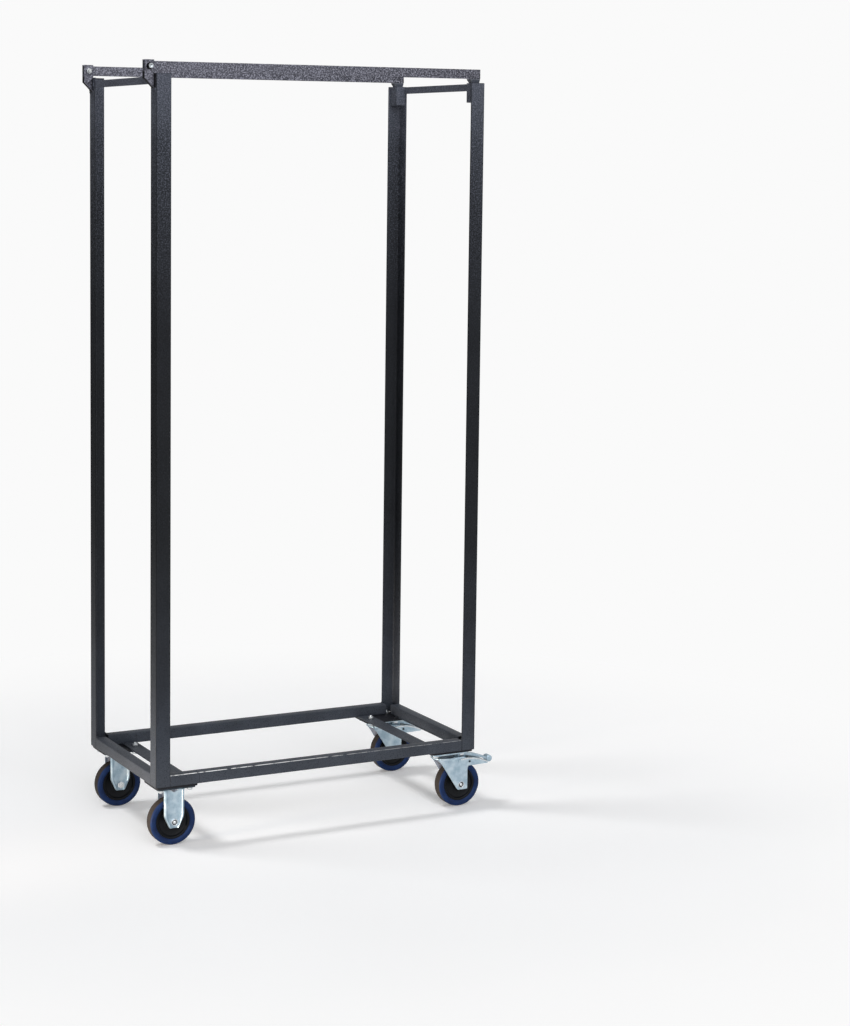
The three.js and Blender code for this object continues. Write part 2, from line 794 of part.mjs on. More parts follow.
function swivelFork(name) {
  const race = latheZ([
    [lowerRaceBore, crownTop - weldGap],
    [lowerRaceRadius, crownTop - weldGap],
    [lowerRaceRadius, plateBottom - raceHeight - raceGap],
    [lowerRaceBore, plateBottom - raceHeight - raceGap],
    [lowerRaceBore, crownTop - weldGap],
  ], coreSteps);
  const tongue = armPivotX + armBarrelRadius;
  const ear = armWidth / 2 + legWall;
  const earShape = outline([
    [armPivotX - armEarBack, crownTop - crownThickness / 2],
    [tongue, crownTop - crownThickness / 2],
    ...arc(armPivotX, armPivotZ, armBarrelRadius, 0, Math.PI, curveSteps),
  ]);
  const reach = legOuter + cutOverrun;
  const pinReach = pedalOuter + pedalWall;
  return piece(name, joined(
    [
      cylinderZ(0, 0, crownRadius, crownBottom, crownTop, coreSteps),
      box(0, tongue, -ear, ear, crownBottom, crownTop),
      box(-crownFrontHalf, crownRadius, -legOuter, legOuter, crownBottom, crownTop),
      race,
      prismY(swivelLeg(), -legOuter, -legInner),
      prismY(swivelLeg(), legInner, legOuter),
      prismY(earShape, -ear, -ear + legWall - weldGap),
      prismY(earShape, ear - legWall + weldGap, ear),
      cylinderY(pedalPivotX, pedalPivotZ, pedalPinRadius, -pinReach, pinReach, boreSteps),
      cylinderY(armPivotX, armPivotZ, armPinRadius, -ear, ear, boreSteps),
    ],
    [
      cylinderY(trail, wheelRadius, axleHoleRadius, -reach, reach),
      cylinderZ(0, 0, boreRadius(kingpinRadius), crownBottom - cutOverrun, castorHeight, boreSteps),
    ],
  ), zinc);
}

// Brake lever: two curved cheeks outside the fork, a web over the heel and a shoe above the tyre
function curveBetween(start, control, end) {
  const curve = new THREE.QuadraticBezierCurve(
    new THREE.Vector2(...start), new THREE.Vector2(...control), new THREE.Vector2(...end),
  );
  return curve.getPoints(curveSteps).map((point) => [point.x, point.y]);
}

function brakeLever(name) {
  const tip = plateBottom - pedalTipDrop;
  const crest = pedalPivotZ + leverRise;
  const start = pedalPivotX - leverBack;
  const belly = pedalPivotZ - leverBelly;
  const topLine = curveBetween(
    [start, crest - earRadius],
    [pedalPivotX + earRadius, crest + pedalWall],
    [pedalReach, tip + leverTipHeight],
  );
  const lowLine = curveBetween(
    [pedalReach - pedalWall, tip],
    [(pedalPivotX + pedalReach) / 2, belly],
    [pedalPivotX - earRadius, belly],
  );
  const cheek = outline([...topLine, ...lowLine, [start, pedalPivotZ]]);
  const webStart = pedalPivotX + leverWebStart;
  const webTop = topLine.filter(([x]) => x >= webStart);
  const under = webTop.map(([x, z]) => [x, z - leverWebThickness]).reverse();
  const web = outline([...webTop, ...under]);
  const [[shoeX0, shoeZ0], [shoeX1, shoeZ1]] = webTop;
  const shoe = outline([
    [shoeX0, plateBottom - shoeInnerDrop], [shoeX1, plateBottom - shoeOuterDrop],
    [shoeX1, shoeZ1 - pedalWall], [shoeX0, shoeZ0 - pedalWall],
  ]);
  const reach = pedalOuter + cutOverrun;
  const hole = cylinderY(pedalPivotX, pedalPivotZ, boreRadius(pedalPinRadius), -reach, reach, boreSteps);
  return piece(name, joined(
    [
      prismY(cheek, -pedalOuter, -pedalInner),
      prismY(cheek, pedalInner, pedalOuter),
      prismY(web, -pedalOuter, pedalOuter),
      prismY(shoe, -shoeWidth / 2, shoeWidth / 2),
    ],
    [hole],
  ), zinc);
}

// Release arm over the lever, with a rolled knob for the foot
function releaseArm(name) {
  const lift = armThickness / 2;
  const middle = (armPivotX + knobX) / 2;
  const knobZ = plateBottom - knobDrop;
  const line = curveBetween([armPivotX, armPivotZ], [middle, armPivotZ], [knobX, knobZ]);
  const upper = line.map(([x, z]) => [x, z + lift]);
  const lower = line.map(([x, z]) => [x, z - lift]).reverse();
  const half = armWidth / 2;
  const reach = half + cutOverrun;
  const knobHalf = knobWidth / 2;
  const knob = latheY([
    [0, -knobHalf],
    ...arc(knobRadius - knobRound, -knobHalf + knobRound, knobRound, -Math.PI / 2, 0),
    ...arc(knobRadius - knobRound, knobHalf - knobRound, knobRound, 0, Math.PI / 2),
    [0, knobHalf],
  ], smallSteps).translate(knobX, 0, knobZ);
  return piece(name, joined(
    [
      prismY(outline([...upper, ...lower]), -half, half),
      cylinderY(armPivotX, armPivotZ, armBarrelRadius, -half, half),
      knob,
    ],
    [cylinderY(armPivotX, armPivotZ, boreRadius(armPinRadius), -reach, reach, boreSteps)],
  ), zinc);
}

function swivelCastor(place) {
  const group = new THREE.Group();
  group.position.set(place.x, place.y, 0);
  group.add(
    swivelPlate(place),
    kingpin(`${place.name}_kingpin`),
    swivelFork(`${place.name}_castor_fork`),
    brakeLever(`${place.name}_brake_lever`),
    releaseArm(`${place.name}_release_arm`),
    ...wheelParts(place.name, trail, place.sideY),
  );
  return group;
}

const trolley = new THREE.Group();
trolley.position.x = centreShift;

for (const [side, sideY] of [['front', -1], ['rear', 1]]) {
  trolley.add(
    post(`${side}_left_post`, -1, sideY),
    post(`${side}_right_post`, 1, sideY),
    sideRail(`${side}_base_rail`, sideY),
    hingeLug(`${side}_hinge_lug`, sideY),
    hingeBolt(`${side}_hinge_bolt`, sideY),
    hingeNut(`${side}_hinge_nut`, sideY),
    socket(`${side}_bar_socket`, sideY),
    barGroup(side, sideY),
  );
}

trolley.add(
  endRail('left_base_rail', -1),
  endRail('right_base_rail', 1),
  crossStrap('left_cross_strap', -1),
  crossStrap('right_cross_strap', 1),
  topRail('left_top_rail', -1, leftRailDrop),
  topRail('right_top_rail', 1, rightRailDrop),
);

for (const place of castorPlaces()) {
  trolley.add(castorPad(place), place.endX < 0 ? fixedCastor(place) : swivelCastor(place));
}

export default trolley;
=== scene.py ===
import json
import math

import bmesh
import bpy
from mathutils import Matrix, Vector


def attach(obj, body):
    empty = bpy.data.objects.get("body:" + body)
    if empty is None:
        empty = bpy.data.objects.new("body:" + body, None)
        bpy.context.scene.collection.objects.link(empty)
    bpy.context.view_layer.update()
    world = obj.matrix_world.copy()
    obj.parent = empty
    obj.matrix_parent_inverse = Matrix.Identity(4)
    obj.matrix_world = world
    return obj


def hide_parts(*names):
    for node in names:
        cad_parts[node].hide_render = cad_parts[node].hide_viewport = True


# Steel trolley for a tall stack: angle posts, tube base, two hinged lock bars, four castors.
# Dictionaries and new meshes are in millimetres, in the trolley's own frame; the studio's are in metres.
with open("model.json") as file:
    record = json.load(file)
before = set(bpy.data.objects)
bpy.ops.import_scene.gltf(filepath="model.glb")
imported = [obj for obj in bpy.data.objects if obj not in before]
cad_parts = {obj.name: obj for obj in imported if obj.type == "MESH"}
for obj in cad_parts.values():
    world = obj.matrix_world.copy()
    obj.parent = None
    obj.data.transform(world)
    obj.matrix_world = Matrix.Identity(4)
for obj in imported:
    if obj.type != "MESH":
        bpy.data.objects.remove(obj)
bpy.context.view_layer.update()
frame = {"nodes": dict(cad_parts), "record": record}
mm = 0.001
sides = {"front": -1, "rear": 1}
print("frame loaded:", len(frame["nodes"]), "pieces")


def toLinear(hexColour):  # sRGB hex to the linear red, green, blue and alpha that a socket takes
    channels = [int(hexColour[i:i + 2], 16) / 255 for i in (1, 3, 5)]
    return [c / 12.92 if c <= 0.04045 else ((c + 0.055) / 1.055) ** 2.4 for c in channels] + [1]


def setSockets(tree, node, sockets):  # a value or a link for each socket
    for key, value in sockets.items():
        if isinstance(value, bpy.types.NodeSocket):
            tree.links.new(value, node.inputs[key])
        else:
            node.inputs[key].default_value = toLinear(value) if isinstance(value, str) else value


# One node with its settings, its sockets and its ramp stops
def addNode(tree, kind, sockets=None, stops=None, **settings):
    node = tree.nodes.new("ShaderNode" + kind)
    for key, value in settings.items():
        setattr(node, key, value)
    setSockets(tree, node, sockets or {})
    if stops:
        stops = list(stops)
        elements = node.color_ramp.elements
        while len(elements) < len(stops):
            elements.new(0.5)
        for element, (position, colour) in zip(elements, stops):
            element.position = position
            element.color = toLinear(colour)
    return node


def startMaterial(name):
    material = bpy.data.materials.new(name)
    material.use_nodes = True
    tree = material.node_tree
    return material, tree, tree.nodes["Principled BSDF"], addNode(tree, "TexCoord").outputs["Object"]


def linkObject(name, data):
    thing = bpy.data.objects.new(name, data)
    bpy.context.scene.collection.objects.link(thing)
    return thing


def linkMesh(name, bm, materials):
    mesh = bpy.data.meshes.new(name)
    bm.to_mesh(mesh)
    bm.free()
    for material in materials:
        mesh.materials.append(material)
    return linkObject(name, mesh)


def perMillimetre(size):  # noise scale for a feature of this many millimetres
    return 1 / (size * mm)


# Hammered powder coat on mild steel: small soft dimples, mottled pale flecks, a broken satin sheen.
# Real flecks are 1 to 2 mm; they are drawn at 3.6 mm so that they still show from 6 m away.
# The tones run up the frame: lighter at its foot, partly floor dust and partly painted light bounced up from
# the floor, near black in the middle, and palest at the top as a painted highlight from the light above.
# Levels are noise values between which a mark fades in, and "uneven" is what the roughness gains at the
# noise's low and high end: the flecks shine a little more.
postCoat = {
    "along": "Z", "span": (160, 2000),
    "tones": ((0.0, "#42474f"), (0.07, "#343941"), (0.12, "#30343b"), (0.19, "#292c31"), (0.33, "#1d1f22"),
              (0.5, "#1d1f22"), (0.62, "#1f2125"), (0.8, "#202327"), (0.9, "#31353b"), (1.0, "#5a5e68")),
    "cloud": ("#e0e0e0", "#ffffff"), "cloudSize": 110, "cloudLevels": (0.35, 0.65),
    "fleck": "#7b7e8c", "fleckShare": 0.7, "fleckSize": 3.6, "fleckLevels": (0.46, 0.66),
    # the flecks fade out down the frame: painted sparkle from the light above
    "fleckSpan": (1350, 1950), "fleckLeast": 0.06,
    "pit": "#15171b", "pitShare": 0.7, "pitSize": 2.6, "pitLevels": (0.44, 0.3),
    "dimpleSize": 5, "dimpleDepth": 0.3, "bump": 0.8, "roughness": 0.48, "uneven": (0.1, -0.08),
    "ior": 1.5, "gloss": 0.16, "rubbed": False,
}
# the bars' coat darkens towards their free right end
barCoat = {
    **postCoat, "along": "X", "span": (-450, 450),
    "tones": ((0.0, "#5d5d67"), (0.5, "#52525c"), (1.0, "#3c3c44")),
    "fleck": "#b2b2bf", "fleckShare": 0.8, "fleckSize": 3.8, "pit": "#26262d", "gloss": 0.28,
}
railCoat = {**postCoat, "rubbed": True}
# The feet rub in their sockets, which polishes the coat: smoother, with a clear highlight on each corner.
footCoat = {**postCoat, "fleckShare": 0.2, "roughness": 0.24, "gloss": 0.6, "dimpleDepth": 0.1}
# Painted shade: a flat, near black coat on faces in folds and under the base, where shade falls.
paintedShadeCoat = {
    **postCoat, "tones": ((0.0, "#1a1b20"), (1.0, "#1a1b20")), "fleck": "#2e2f36", "fleckShare": 0.3,
    "gloss": 0.2,
}
# the same coat drawn darker on rolled and sheared edges, as painted shade
edgeShadeCoat = {**postCoat, "cloud": ("#a0a0a0", "#b8b8b8"), "fleckShare": 0.15}
# bare steel on the rails' outer top edge, strong at the left and faint at the right, and a dressed join
rubbedEdge = {
    "steel": "#eceded", "height": 191.9, "depth": 243.3, "blur": 0.3, "patch": 20, "patchLevels": (0.4, 0.52),
    "strongX": -250, "faintX": 150, "faint": 0.25, "joinX": -372.75, "joinHalf": 0.6, "joinShare": 0.55,
}


def makeHammerCoat(name, coat):
    material, tree, shader, place = startMaterial(name)
    axes = addNode(tree, "SeparateXYZ", {"Vector": place}).outputs
    cloud = addNode(
        tree, "TexNoise", {"Vector": place, "Scale": perMillimetre(coat["cloudSize"]), "Detail": 3.0},
    ).outputs["Fac"]
    flecks = addNode(
        tree, "TexNoise",
        {"Vector": place, "Scale": perMillimetre(coat["fleckSize"]), "Detail": 2.0, "Roughness": 0.62},
    ).outputs["Fac"]
    fine = addNode(
        tree, "TexNoise", {"Vector": place, "Scale": perMillimetre(coat["pitSize"]), "Detail": 2.0},
    ).outputs["Fac"]
    dimples = addNode(
        tree, "TexVoronoi",
        {"Vector": place, "Scale": perMillimetre(coat["dimpleSize"]), "Smoothness": 0.8}, feature="SMOOTH_F1",
    ).outputs["Distance"]
    start, end = coat["span"]
    # tone ramp along the piece; on the posts and rails it holds painted light: bounce light at the foot, a
    # highlight at the top
    reach = addNode(
        tree, "MapRange", {"Value": axes[coat["along"]], "From Min": start * mm, "From Max": end * mm},
    ).outputs["Result"]
    tone = addNode(tree, "ValToRGB", {"Fac": reach}, coat["tones"]).outputs["Color"]
    cloud = addNode(
        tree, "ValToRGB", {"Fac": cloud}, zip(coat["cloudLevels"], coat["cloud"]),
    ).outputs["Color"]
    body = addNode(
        tree, "MixRGB", {"Fac": 1.0, "Color1": tone, "Color2": cloud}, blend_type="MULTIPLY",
    ).outputs["Color"]
    # pale flecks lie thicker towards the top of the frame, as painted sparkle from the light above
    start, end = coat["fleckSpan"]
    paintedTopSparkle = addNode(
        tree, "MapRange",
        {"Value": axes["Z"], "From Min": start * mm, "From Max": end * mm, "To Min": coat["fleckLeast"]},
    ).outputs["Result"]
    least, most = coat["fleckLevels"]
    spots = addNode(
        tree, "MapRange",
        {"Value": flecks, "From Min": least, "From Max": most, "To Max": coat["fleckShare"]},
    ).outputs["Result"]
    spots = addNode(tree, "Math", {0: spots, 1: paintedTopSparkle}, operation="MULTIPLY").outputs[0]
    colour = addNode(
        tree, "MixRGB", {"Fac": spots, "Color1": body, "Color2": coat["fleck"]},
    ).outputs["Color"]
    least, most = coat["pitLevels"]
    pits = addNode(
        tree, "MapRange", {"Value": fine, "From Min": least, "From Max": most, "To Max": coat["pitShare"]},
    ).outputs["Result"]
    colour = addNode(tree, "MixRGB", {"Fac": pits, "Color1": colour, "Color2": coat["pit"]}).outputs["Color"]
    least, most = (coat["roughness"] + step for step in coat["uneven"])
    dull = addNode(
        tree, "MapRange",
        {"Value": flecks, "From Min": 0.3, "From Max": 0.7, "To Min": least, "To Max": most},
    ).outputs["Result"]
    if coat["rubbed"]:
        # bright broken line where a load slides over the rail's outer top edge
        rub = rubbedEdge
        across = addNode(tree, "Math", {0: axes["Y"]}, operation="ABSOLUTE").outputs[0]
        masks = []
        for coordinate, level in ((axes["Z"], rub["height"]), (across, rub["depth"])):
            masks.append(addNode(
                tree, "MapRange",
                {"Value": coordinate, "From Min": (level - rub["blur"]) * mm,
                 "From Max": (level + rub["blur"]) * mm},
            ).outputs["Result"])
        patches = addNode(
            tree, "TexNoise",
            {"Vector": place, "Scale": perMillimetre(rub["patch"]), "Detail": 6.0, "Roughness": 0.75},
        ).outputs["Fac"]
        least, most = rub["patchLevels"]
        masks.append(addNode(
            tree, "MapRange", {"Value": patches, "From Min": least, "From Max": most},
        ).outputs["Result"])
        masks.append(addNode(
            tree, "MapRange",
            {"Value": axes["X"], "From Min": rub["strongX"] * mm, "From Max": rub["faintX"] * mm,
             "To Min": 1.0, "To Max": rub["faint"]},
        ).outputs["Result"])
        edge = masks[0]
        for mask in masks[1:]:
            edge = addNode(tree, "Math", {0: edge, 1: mask}, operation="MULTIPLY").outputs[0]
        # faint dressed join across the front rail
        join = addNode(
            tree, "Math", {0: axes["X"], 1: rub["joinX"] * mm, 2: rub["joinHalf"] * mm}, operation="COMPARE",
        ).outputs[0]
        join = addNode(tree, "Math", {0: join, 1: rub["joinShare"]}, operation="MULTIPLY").outputs[0]
        for share, mark in ((join, coat["pit"]), (edge, rub["steel"])):
            colour = addNode(
                tree, "MixRGB", {"Fac": share, "Color1": colour, "Color2": mark},
            ).outputs["Color"]
        setSockets(tree, shader, {"Metallic": edge})
    bump = addNode(
        tree, "Bump", {"Height": dimples, "Distance": coat["dimpleDepth"] * mm, "Strength": coat["bump"]},
    ).outputs["Normal"]
    setSockets(tree, shader, {
        "Base Color": colour, "Roughness": dull, "Normal": bump, "IOR": coat["ior"],
        "Specular IOR Level": coat["gloss"],
    })
    return material


hammeredPostCoat = makeHammerCoat("hammeredPowderCoatPosts", postCoat)
hammeredBarCoat = makeHammerCoat("hammeredPowderCoatBars", barCoat)
hammeredRailCoat = makeHammerCoat("hammeredPowderCoatRails", railCoat)
hammeredFootCoat = makeHammerCoat("hammeredPowderCoatPolished", footCoat)
hammeredEdgeShade = makeHammerCoat("hammeredPowderCoatEdgeShade", edgeShadeCoat)
paintedShadeBlack = makeHammerCoat("paintedShadeNearBlack", paintedShadeCoat)

# Blue passivated zinc on pressed steel: pale blue-grey, cloudy, satin reflections, a few dull stains.
# A noise is given by its size, then its detail and roughness.
sheetZinc = {
    "tones": ("#94aab8", "#a8bcc8", "#bccbd3"),
    "cloudSize": 20, "cloudNoise": (3, 0.5), "cloudLevels": (0.34, 0.5, 0.66),
    "mark": "#788d9b", "markShare": 0.45, "markSize": 7, "markNoise": (4, 0.65), "markLevels": (0.58, 0.75),
    "grainSize": 1.4, "grainNoise": (3, 0.5), "grainDepth": 0.05, "bump": 0.5,
    "roughness": 0.4, "uneven": (-0.06, 0.1), "shader": {"Metallic": 0.75},
}
# the same plating on turned and cold headed fasteners: smoother and brighter, with sharper reflections
fastenerZinc = {
    **sheetZinc, "tones": ("#c2c8cc", "#d2d6d8", "#dfe1e1"), "roughness": 0.26, "shader": {"Metallic": 0.9},
}
# the inner sides of the forks are never rubbed: chalky and nearly without reflections
matZinc = {
    **sheetZinc, "tones": ("#b3bacb", "#c6ccda", "#d8dce6"), "mark": "#969fb0", "markShare": 0.3,
    "roughness": 0.58, "shader": {"Metallic": 0.15},
}
# the same plating drawn dark as painted shade, under the frame, in the ball races and in the axle bolts' ring
# groove
shadeZincSkin = {**sheetZinc, "tones": ("#2f373d", "#39424a", "#4a545c"), "mark": "#20262b", "roughness": 0.36}
# Elastic solid rubber in dark blue, moulded: matt with a soft bloom of dust in its grain.
tyreSide = {
    "tones": ("#081d42", "#0e2a55"), "cloudSize": 18, "cloudNoise": (4, 0.5), "cloudLevels": (0.3, 0.7),
    "mark": "#35507c", "markShare": 0.3, "markSize": 3, "markNoise": (4, 0.7), "markLevels": (0.55, 0.8),
    "grainSize": 3, "grainNoise": (4, 0.7), "grainDepth": 0.08, "bump": 0.5,
    "roughness": 0.55, "uneven": (-0.06, 0.08), "shader": {"IOR": 1.52, "Specular IOR Level": 0.2},
}
# the running face is rough and brown with dust
tyreTread = {
    **tyreSide, "tones": ("#2b2725", "#36312d"), "mark": "#4f4842", "markSize": 1.8, "grainSize": 1.8,
    "roughness": 0.75,
}
# Black polyamide, injection moulded: satin skin with fine erosion grain.
coreSkin = {
    **tyreSide, "tones": ("#07090b", "#0c0e12"), "mark": "#1c2024", "markShare": 0.25, "markSize": 1.2,
    "grainSize": 1.2, "grainDepth": 0.03, "roughness": 0.42,
    "shader": {"IOR": 1.53, "Specular IOR Level": 0.14},
}
# Black oxide on the hinge bolts' sides, and painted shade on their flanges: thin, dark and slightly dusty.
boltOxideAndShade = {**coreSkin, "tones": ("#0b0a0d", "#131216"), "mark": "#2a282d", "roughness": 0.4}


def makeSkin(name, skin):
    material, tree, shader, place = startMaterial(name)
    noises = {}
    for part in ("cloud", "mark", "grain"):
        detail, rough = skin[part + "Noise"]
        scale = perMillimetre(skin[part + "Size"])
        noises[part] = addNode(
            tree, "TexNoise", {"Vector": place, "Scale": scale, "Detail": detail, "Roughness": rough},
        ).outputs["Fac"]
    body = addNode(
        tree, "ValToRGB", {"Fac": noises["cloud"]}, zip(skin["cloudLevels"], skin["tones"]),
    ).outputs["Color"]
    least, most = skin["markLevels"]
    marks = addNode(
        tree, "MapRange",
        {"Value": noises["mark"], "From Min": least, "From Max": most, "To Max": skin["markShare"]},
    ).outputs["Result"]
    colour = addNode(tree, "MixRGB", {"Fac": marks, "Color1": body, "Color2": skin["mark"]}).outputs["Color"]
    grain = noises["grain"]
    least, most = (skin["roughness"] + step for step in skin["uneven"])
    dull = addNode(
        tree, "MapRange", {"Value": grain, "From Min": 0.3, "From Max": 0.7, "To Min": least, "To Max": most},
    ).outputs["Result"]
    bump = addNode(
        tree, "Bump", {"Height": grain, "Distance": skin["grainDepth"] * mm, "Strength": skin["bump"]},
    ).outputs["Normal"]
    setSockets(tree, shader, {"Base Color": colour, "Roughness": dull, "Normal": bump, **skin["shader"]})
    return material


zincSheet = makeSkin("passivatedZincPressedSteel", sheetZinc)
zincFastener = makeSkin("passivatedZincFastener", fastenerZinc)
zincMat = makeSkin("passivatedZincMatInside", matZinc)
zincPaintedShade = makeSkin("passivatedZincPaintedShade", shadeZincSkin)
rubberSide = makeSkin("elasticRubberBlueMoulded", tyreSide)
rubberTread = makeSkin("elasticRubberRunTread", tyreTread)
blackPolyamide = makeSkin("polyamideBlackMoulded", coreSkin)
oxideAndShadeBlack = makeSkin("boltSideOxideAndPaintedShade", boltOxideAndShade)
print("materials made")


def bodyOf(node):
    groups = frame["record"]["behaviour"]["bodies"]
    return next(body for body, members in groups.items() if node in members)


# Turns a finished bmesh into a piece on its body; new meshes come in millimetres, copies in metres
def finishPiece(name, bm, node, materials, soft=0, segments=2, smoothAngle=32, wall=0,
                inMetres=False, stands=True, edgeMaterial=-1):
    if not inMetres:
        bmesh.ops.scale(bm, vec=(mm, mm, mm), verts=bm.verts)
    piece = linkMesh(name, bm, materials)
    piece.data.shade_smooth()
    piece.data.set_sharp_from_angle(angle=math.radians(smoothAngle))
    if wall:
        sheet = piece.modifiers.new("sheetThickness", "SOLIDIFY")
        sheet.thickness = wall * mm
        sheet.offset = -1
        sheet.material_offset = len(materials) - 1  # a second material goes to the inner side
    if soft:
        edge = piece.modifiers.new("softEdges", "BEVEL")
        edge.width = soft * mm
        edge.segments = segments
        edge.limit_method = "ANGLE"
        edge.angle_limit = math.radians(smoothAngle + 2)  # only edges that stay sharp are rounded
        edge.harden_normals = True
        edge.material = edgeMaterial
    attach(piece, bodyOf(node))
    if stands:
        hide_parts(node)


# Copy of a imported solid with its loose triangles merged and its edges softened
copyLimits = {"merge": 0.002, "flatAngle": 0.6}


def softCopy(node, materials, soft, segments=2, smoothAngle=32, pick=None, edgeMaterial=-1):
    bm = bmesh.new()
    bm.from_mesh(frame["nodes"][node].data)
    bmesh.ops.remove_doubles(bm, verts=bm.verts, dist=copyLimits["merge"] * mm)
    bmesh.ops.dissolve_limit(
        bm, angle_limit=math.radians(copyLimits["flatAngle"]), use_dissolve_boundaries=False,
        verts=bm.verts, edges=bm.edges, delimit=set(),
    )
    if pick:
        for face in bm.faces:
            face.material_index = pick(face.calc_center_median() / mm, face.normal)
    finishPiece(
        node + "_form", bm, node, materials, soft, segments, smoothAngle, inMetres=True,
        edgeMaterial=edgeMaterial,
    )


def shifted(x, y, z):
    return Matrix.Translation((x, y, z))


# Cylinder or hexagon along Z or Y, between two ends
def addRod(bm, x, y, z, reach, radius, sidesCount=32, along="Z", endRadius=None):
    turn = Matrix.Rotation(math.pi / 2, 4, "X") if along == "Y" else Matrix.Identity(4)
    middle = (reach[0] + reach[1]) / 2
    place = shifted(x, middle, z) if along == "Y" else shifted(x, y, middle)
    return bmesh.ops.create_cone(
        bm, cap_ends=True, segments=sidesCount, radius1=radius, radius2=endRadius or radius,
        depth=abs(reach[1] - reach[0]), matrix=place @ turn,
    )["verts"]


def addBlock(bm, low, high):
    middle = (Vector(low) + Vector(high)) / 2
    size = Vector(high) - Vector(low)
    bmesh.ops.create_cube(bm, size=1, matrix=shifted(*middle) @ Matrix.Diagonal((*size, 1)))


def bevelEdges(bm, edges, width, segments):
    bmesh.ops.bevel(
        bm, geom=edges, offset=width, offset_type="OFFSET", affect="EDGES", segments=segments, profile=0.5,
        material=-1,
    )


# Normals outwards; an open sheet is turned when its largest or topmost face looks the wrong way
def faceOutwards(bm, wrongWay=None):
    bmesh.ops.recalc_face_normals(bm, faces=bm.faces)
    if wrongWay and wrongWay():
        bmesh.ops.reverse_faces(bm, faces=bm.faces)


# Hexagon head or nut with its outer corners turned off
def addHexagon(bm, x, y, z, reach, flats, along="Z", chamfer=0.7):
    verts = addRod(bm, x, y, z, reach, flats / math.sqrt(3), 6, along)
    rims = [e for e in {e for v in verts for e in v.link_edges} if len(e.link_faces) == 2
            and max(len(f.verts) for f in e.link_faces) == 6]
    bevelEdges(bm, rims, chamfer, 1)


# Profile of radius and depth, spun about an axle along Y
def addSpun(bm, centre, profile, steps, closed=True):
    verts = [bm.verts.new(Vector(centre) + Vector((r, y, 0))) for r, y in profile]
    edges = [bm.edges.new((verts[i - 1], verts[i])) for i in range(0 if closed else 1, len(verts))]
    bmesh.ops.spin(
        bm, geom=verts + edges, cent=centre, axis=(0, 1, 0), angle=2 * math.pi, steps=steps, use_merge=True,
    )


# Face from a few corners in X and Z, pushed out to a plate between two depths
def addPlate(bm, corners, near, far):
    face = bm.faces.new([bm.verts.new((x, near, z)) for x, z in corners])
    grown = bmesh.ops.extrude_face_region(bm, geom=[face])["geom"]
    moved = [g for g in grown if isinstance(g, bmesh.types.BMVert)]
    bmesh.ops.translate(bm, vec=(0, far - near, 0), verts=moved)


def roundCorners(points, radii, steps=4):
    rounded = []
    for i, (point, radius) in enumerate(zip(points, radii)):
        here = Vector(point)
        before = (Vector(points[i - 1]) - here).normalized()
        after = (Vector(points[(i + 1) % len(points)]) - here).normalized()
        for k in range(steps + 1 if radius else 1):
            t = k / steps
            start, end = here + before * radius * (1 - t), here + after * radius * t
            rounded.append(tuple(start.lerp(end, t)))
    return rounded


# Frame members keep their packed forms, with rolled and cut edges softened
frameEdges = {
    "post": 1.4, "rail": 0.4, "flat": 0.6, "lug": 0.5, "bar": 2.0, "foot": 2.6, "pad": 0.7, "socket": 0.6,
}
lugFlange = {"x": -497, "y": 230.4}  # the flange lies inside of this x and outside of this y


def lugShadeFaces(centre, normal):  # painted shade on the folded flange, the sheared edges and the slanted underside
    onFlange = centre.x > lugFlange["x"] and abs(centre.y) > lugFlange["y"]
    return 1 if onFlange or normal.x < -0.8 or normal.z < -0.3 else 0


def barShadeFaces(centre, normal):  # painted shade on the sawn ends and underside
    return 1 if abs(normal.x) > 0.8 or normal.z < -0.5 else 0


for side in sides:
    for end in ("left", "right"):
        # the posts' rounded edges take the painted edge shade
        softCopy(
            f"{side}_{end}_post", [hammeredPostCoat, hammeredEdgeShade], frameEdges["post"],
            segments=3, smoothAngle=35, edgeMaterial=1,
        )
        # the castor pads under the base are drawn in painted shade
        softCopy(f"{side}_{end}_castor_pad", [paintedShadeBlack], frameEdges["pad"])
    softCopy(f"{side}_base_rail", [hammeredRailCoat], frameEdges["rail"])
    # the lug's flange, sheared edges and slanted underside are drawn in painted shade
    softCopy(
        f"{side}_hinge_lug", [hammeredBarCoat, paintedShadeBlack], frameEdges["lug"], pick=lugShadeFaces,
    )
    softCopy(f"{side}_bar_socket", [hammeredPostCoat], frameEdges["socket"])
    # the bar's rounded edges, sawn ends and underside take the painted edge shade
    softCopy(
        f"{side}_lock_bar", [hammeredBarCoat, hammeredEdgeShade], frameEdges["bar"], segments=3,
        pick=barShadeFaces, edgeMaterial=1,
    )
    softCopy(f"{side}_bar_foot", [hammeredFootCoat], frameEdges["foot"], segments=4)
for end in ("left", "right"):
    softCopy(f"{end}_base_rail", [hammeredPostCoat], frameEdges["rail"])
    softCopy(f"{end}_cross_strap", [hammeredPostCoat], frameEdges["flat"])
    softCopy(f"{end}_top_rail", [hammeredPostCoat], frameEdges["flat"])
print("frame members finished")

# Weld beads: rows of small overlapping blobs in the inner corners, painted over. A gap is from a face to
# the bead's middle line, and an upright bead runs between two heights.
weldBead = {
    "pitch": 2.2, "flat": 0.8, "swell": 0.12, "swellStep": 2.3,
    "corner": {"radius": 2.2, "toeGap": 0.6, "wallGap": 0.5, "start": 3, "lifts": (0.4, 0.8)},
    "railEnd": {"radius": 2, "heights": (168, 188)},
    "lugFoot": {"radius": 2.3, "gap": 0.3, "depths": (241, 239), "height": 1945.4},
    "lugSide": {"radius": 1.6, "gap": 0.6, "depth": 214.6, "heights": (1962, 1981)},
    "topRail": {"radius": 1.6, "gap": 0.4, "toeGap": 0.5, "below": (17, 2),
                "drops": {"left": 8, "right": 0.5}},
}
frameSizes = {
    "ends": {"left": -493.75, "right": 442.25}, "inwards": {"left": 1, "right": -1}, "depth": 245,
    "leg": 40, "wall": 4, "railTop": 193.6, "tube": 30, "postTop": 1985,
}


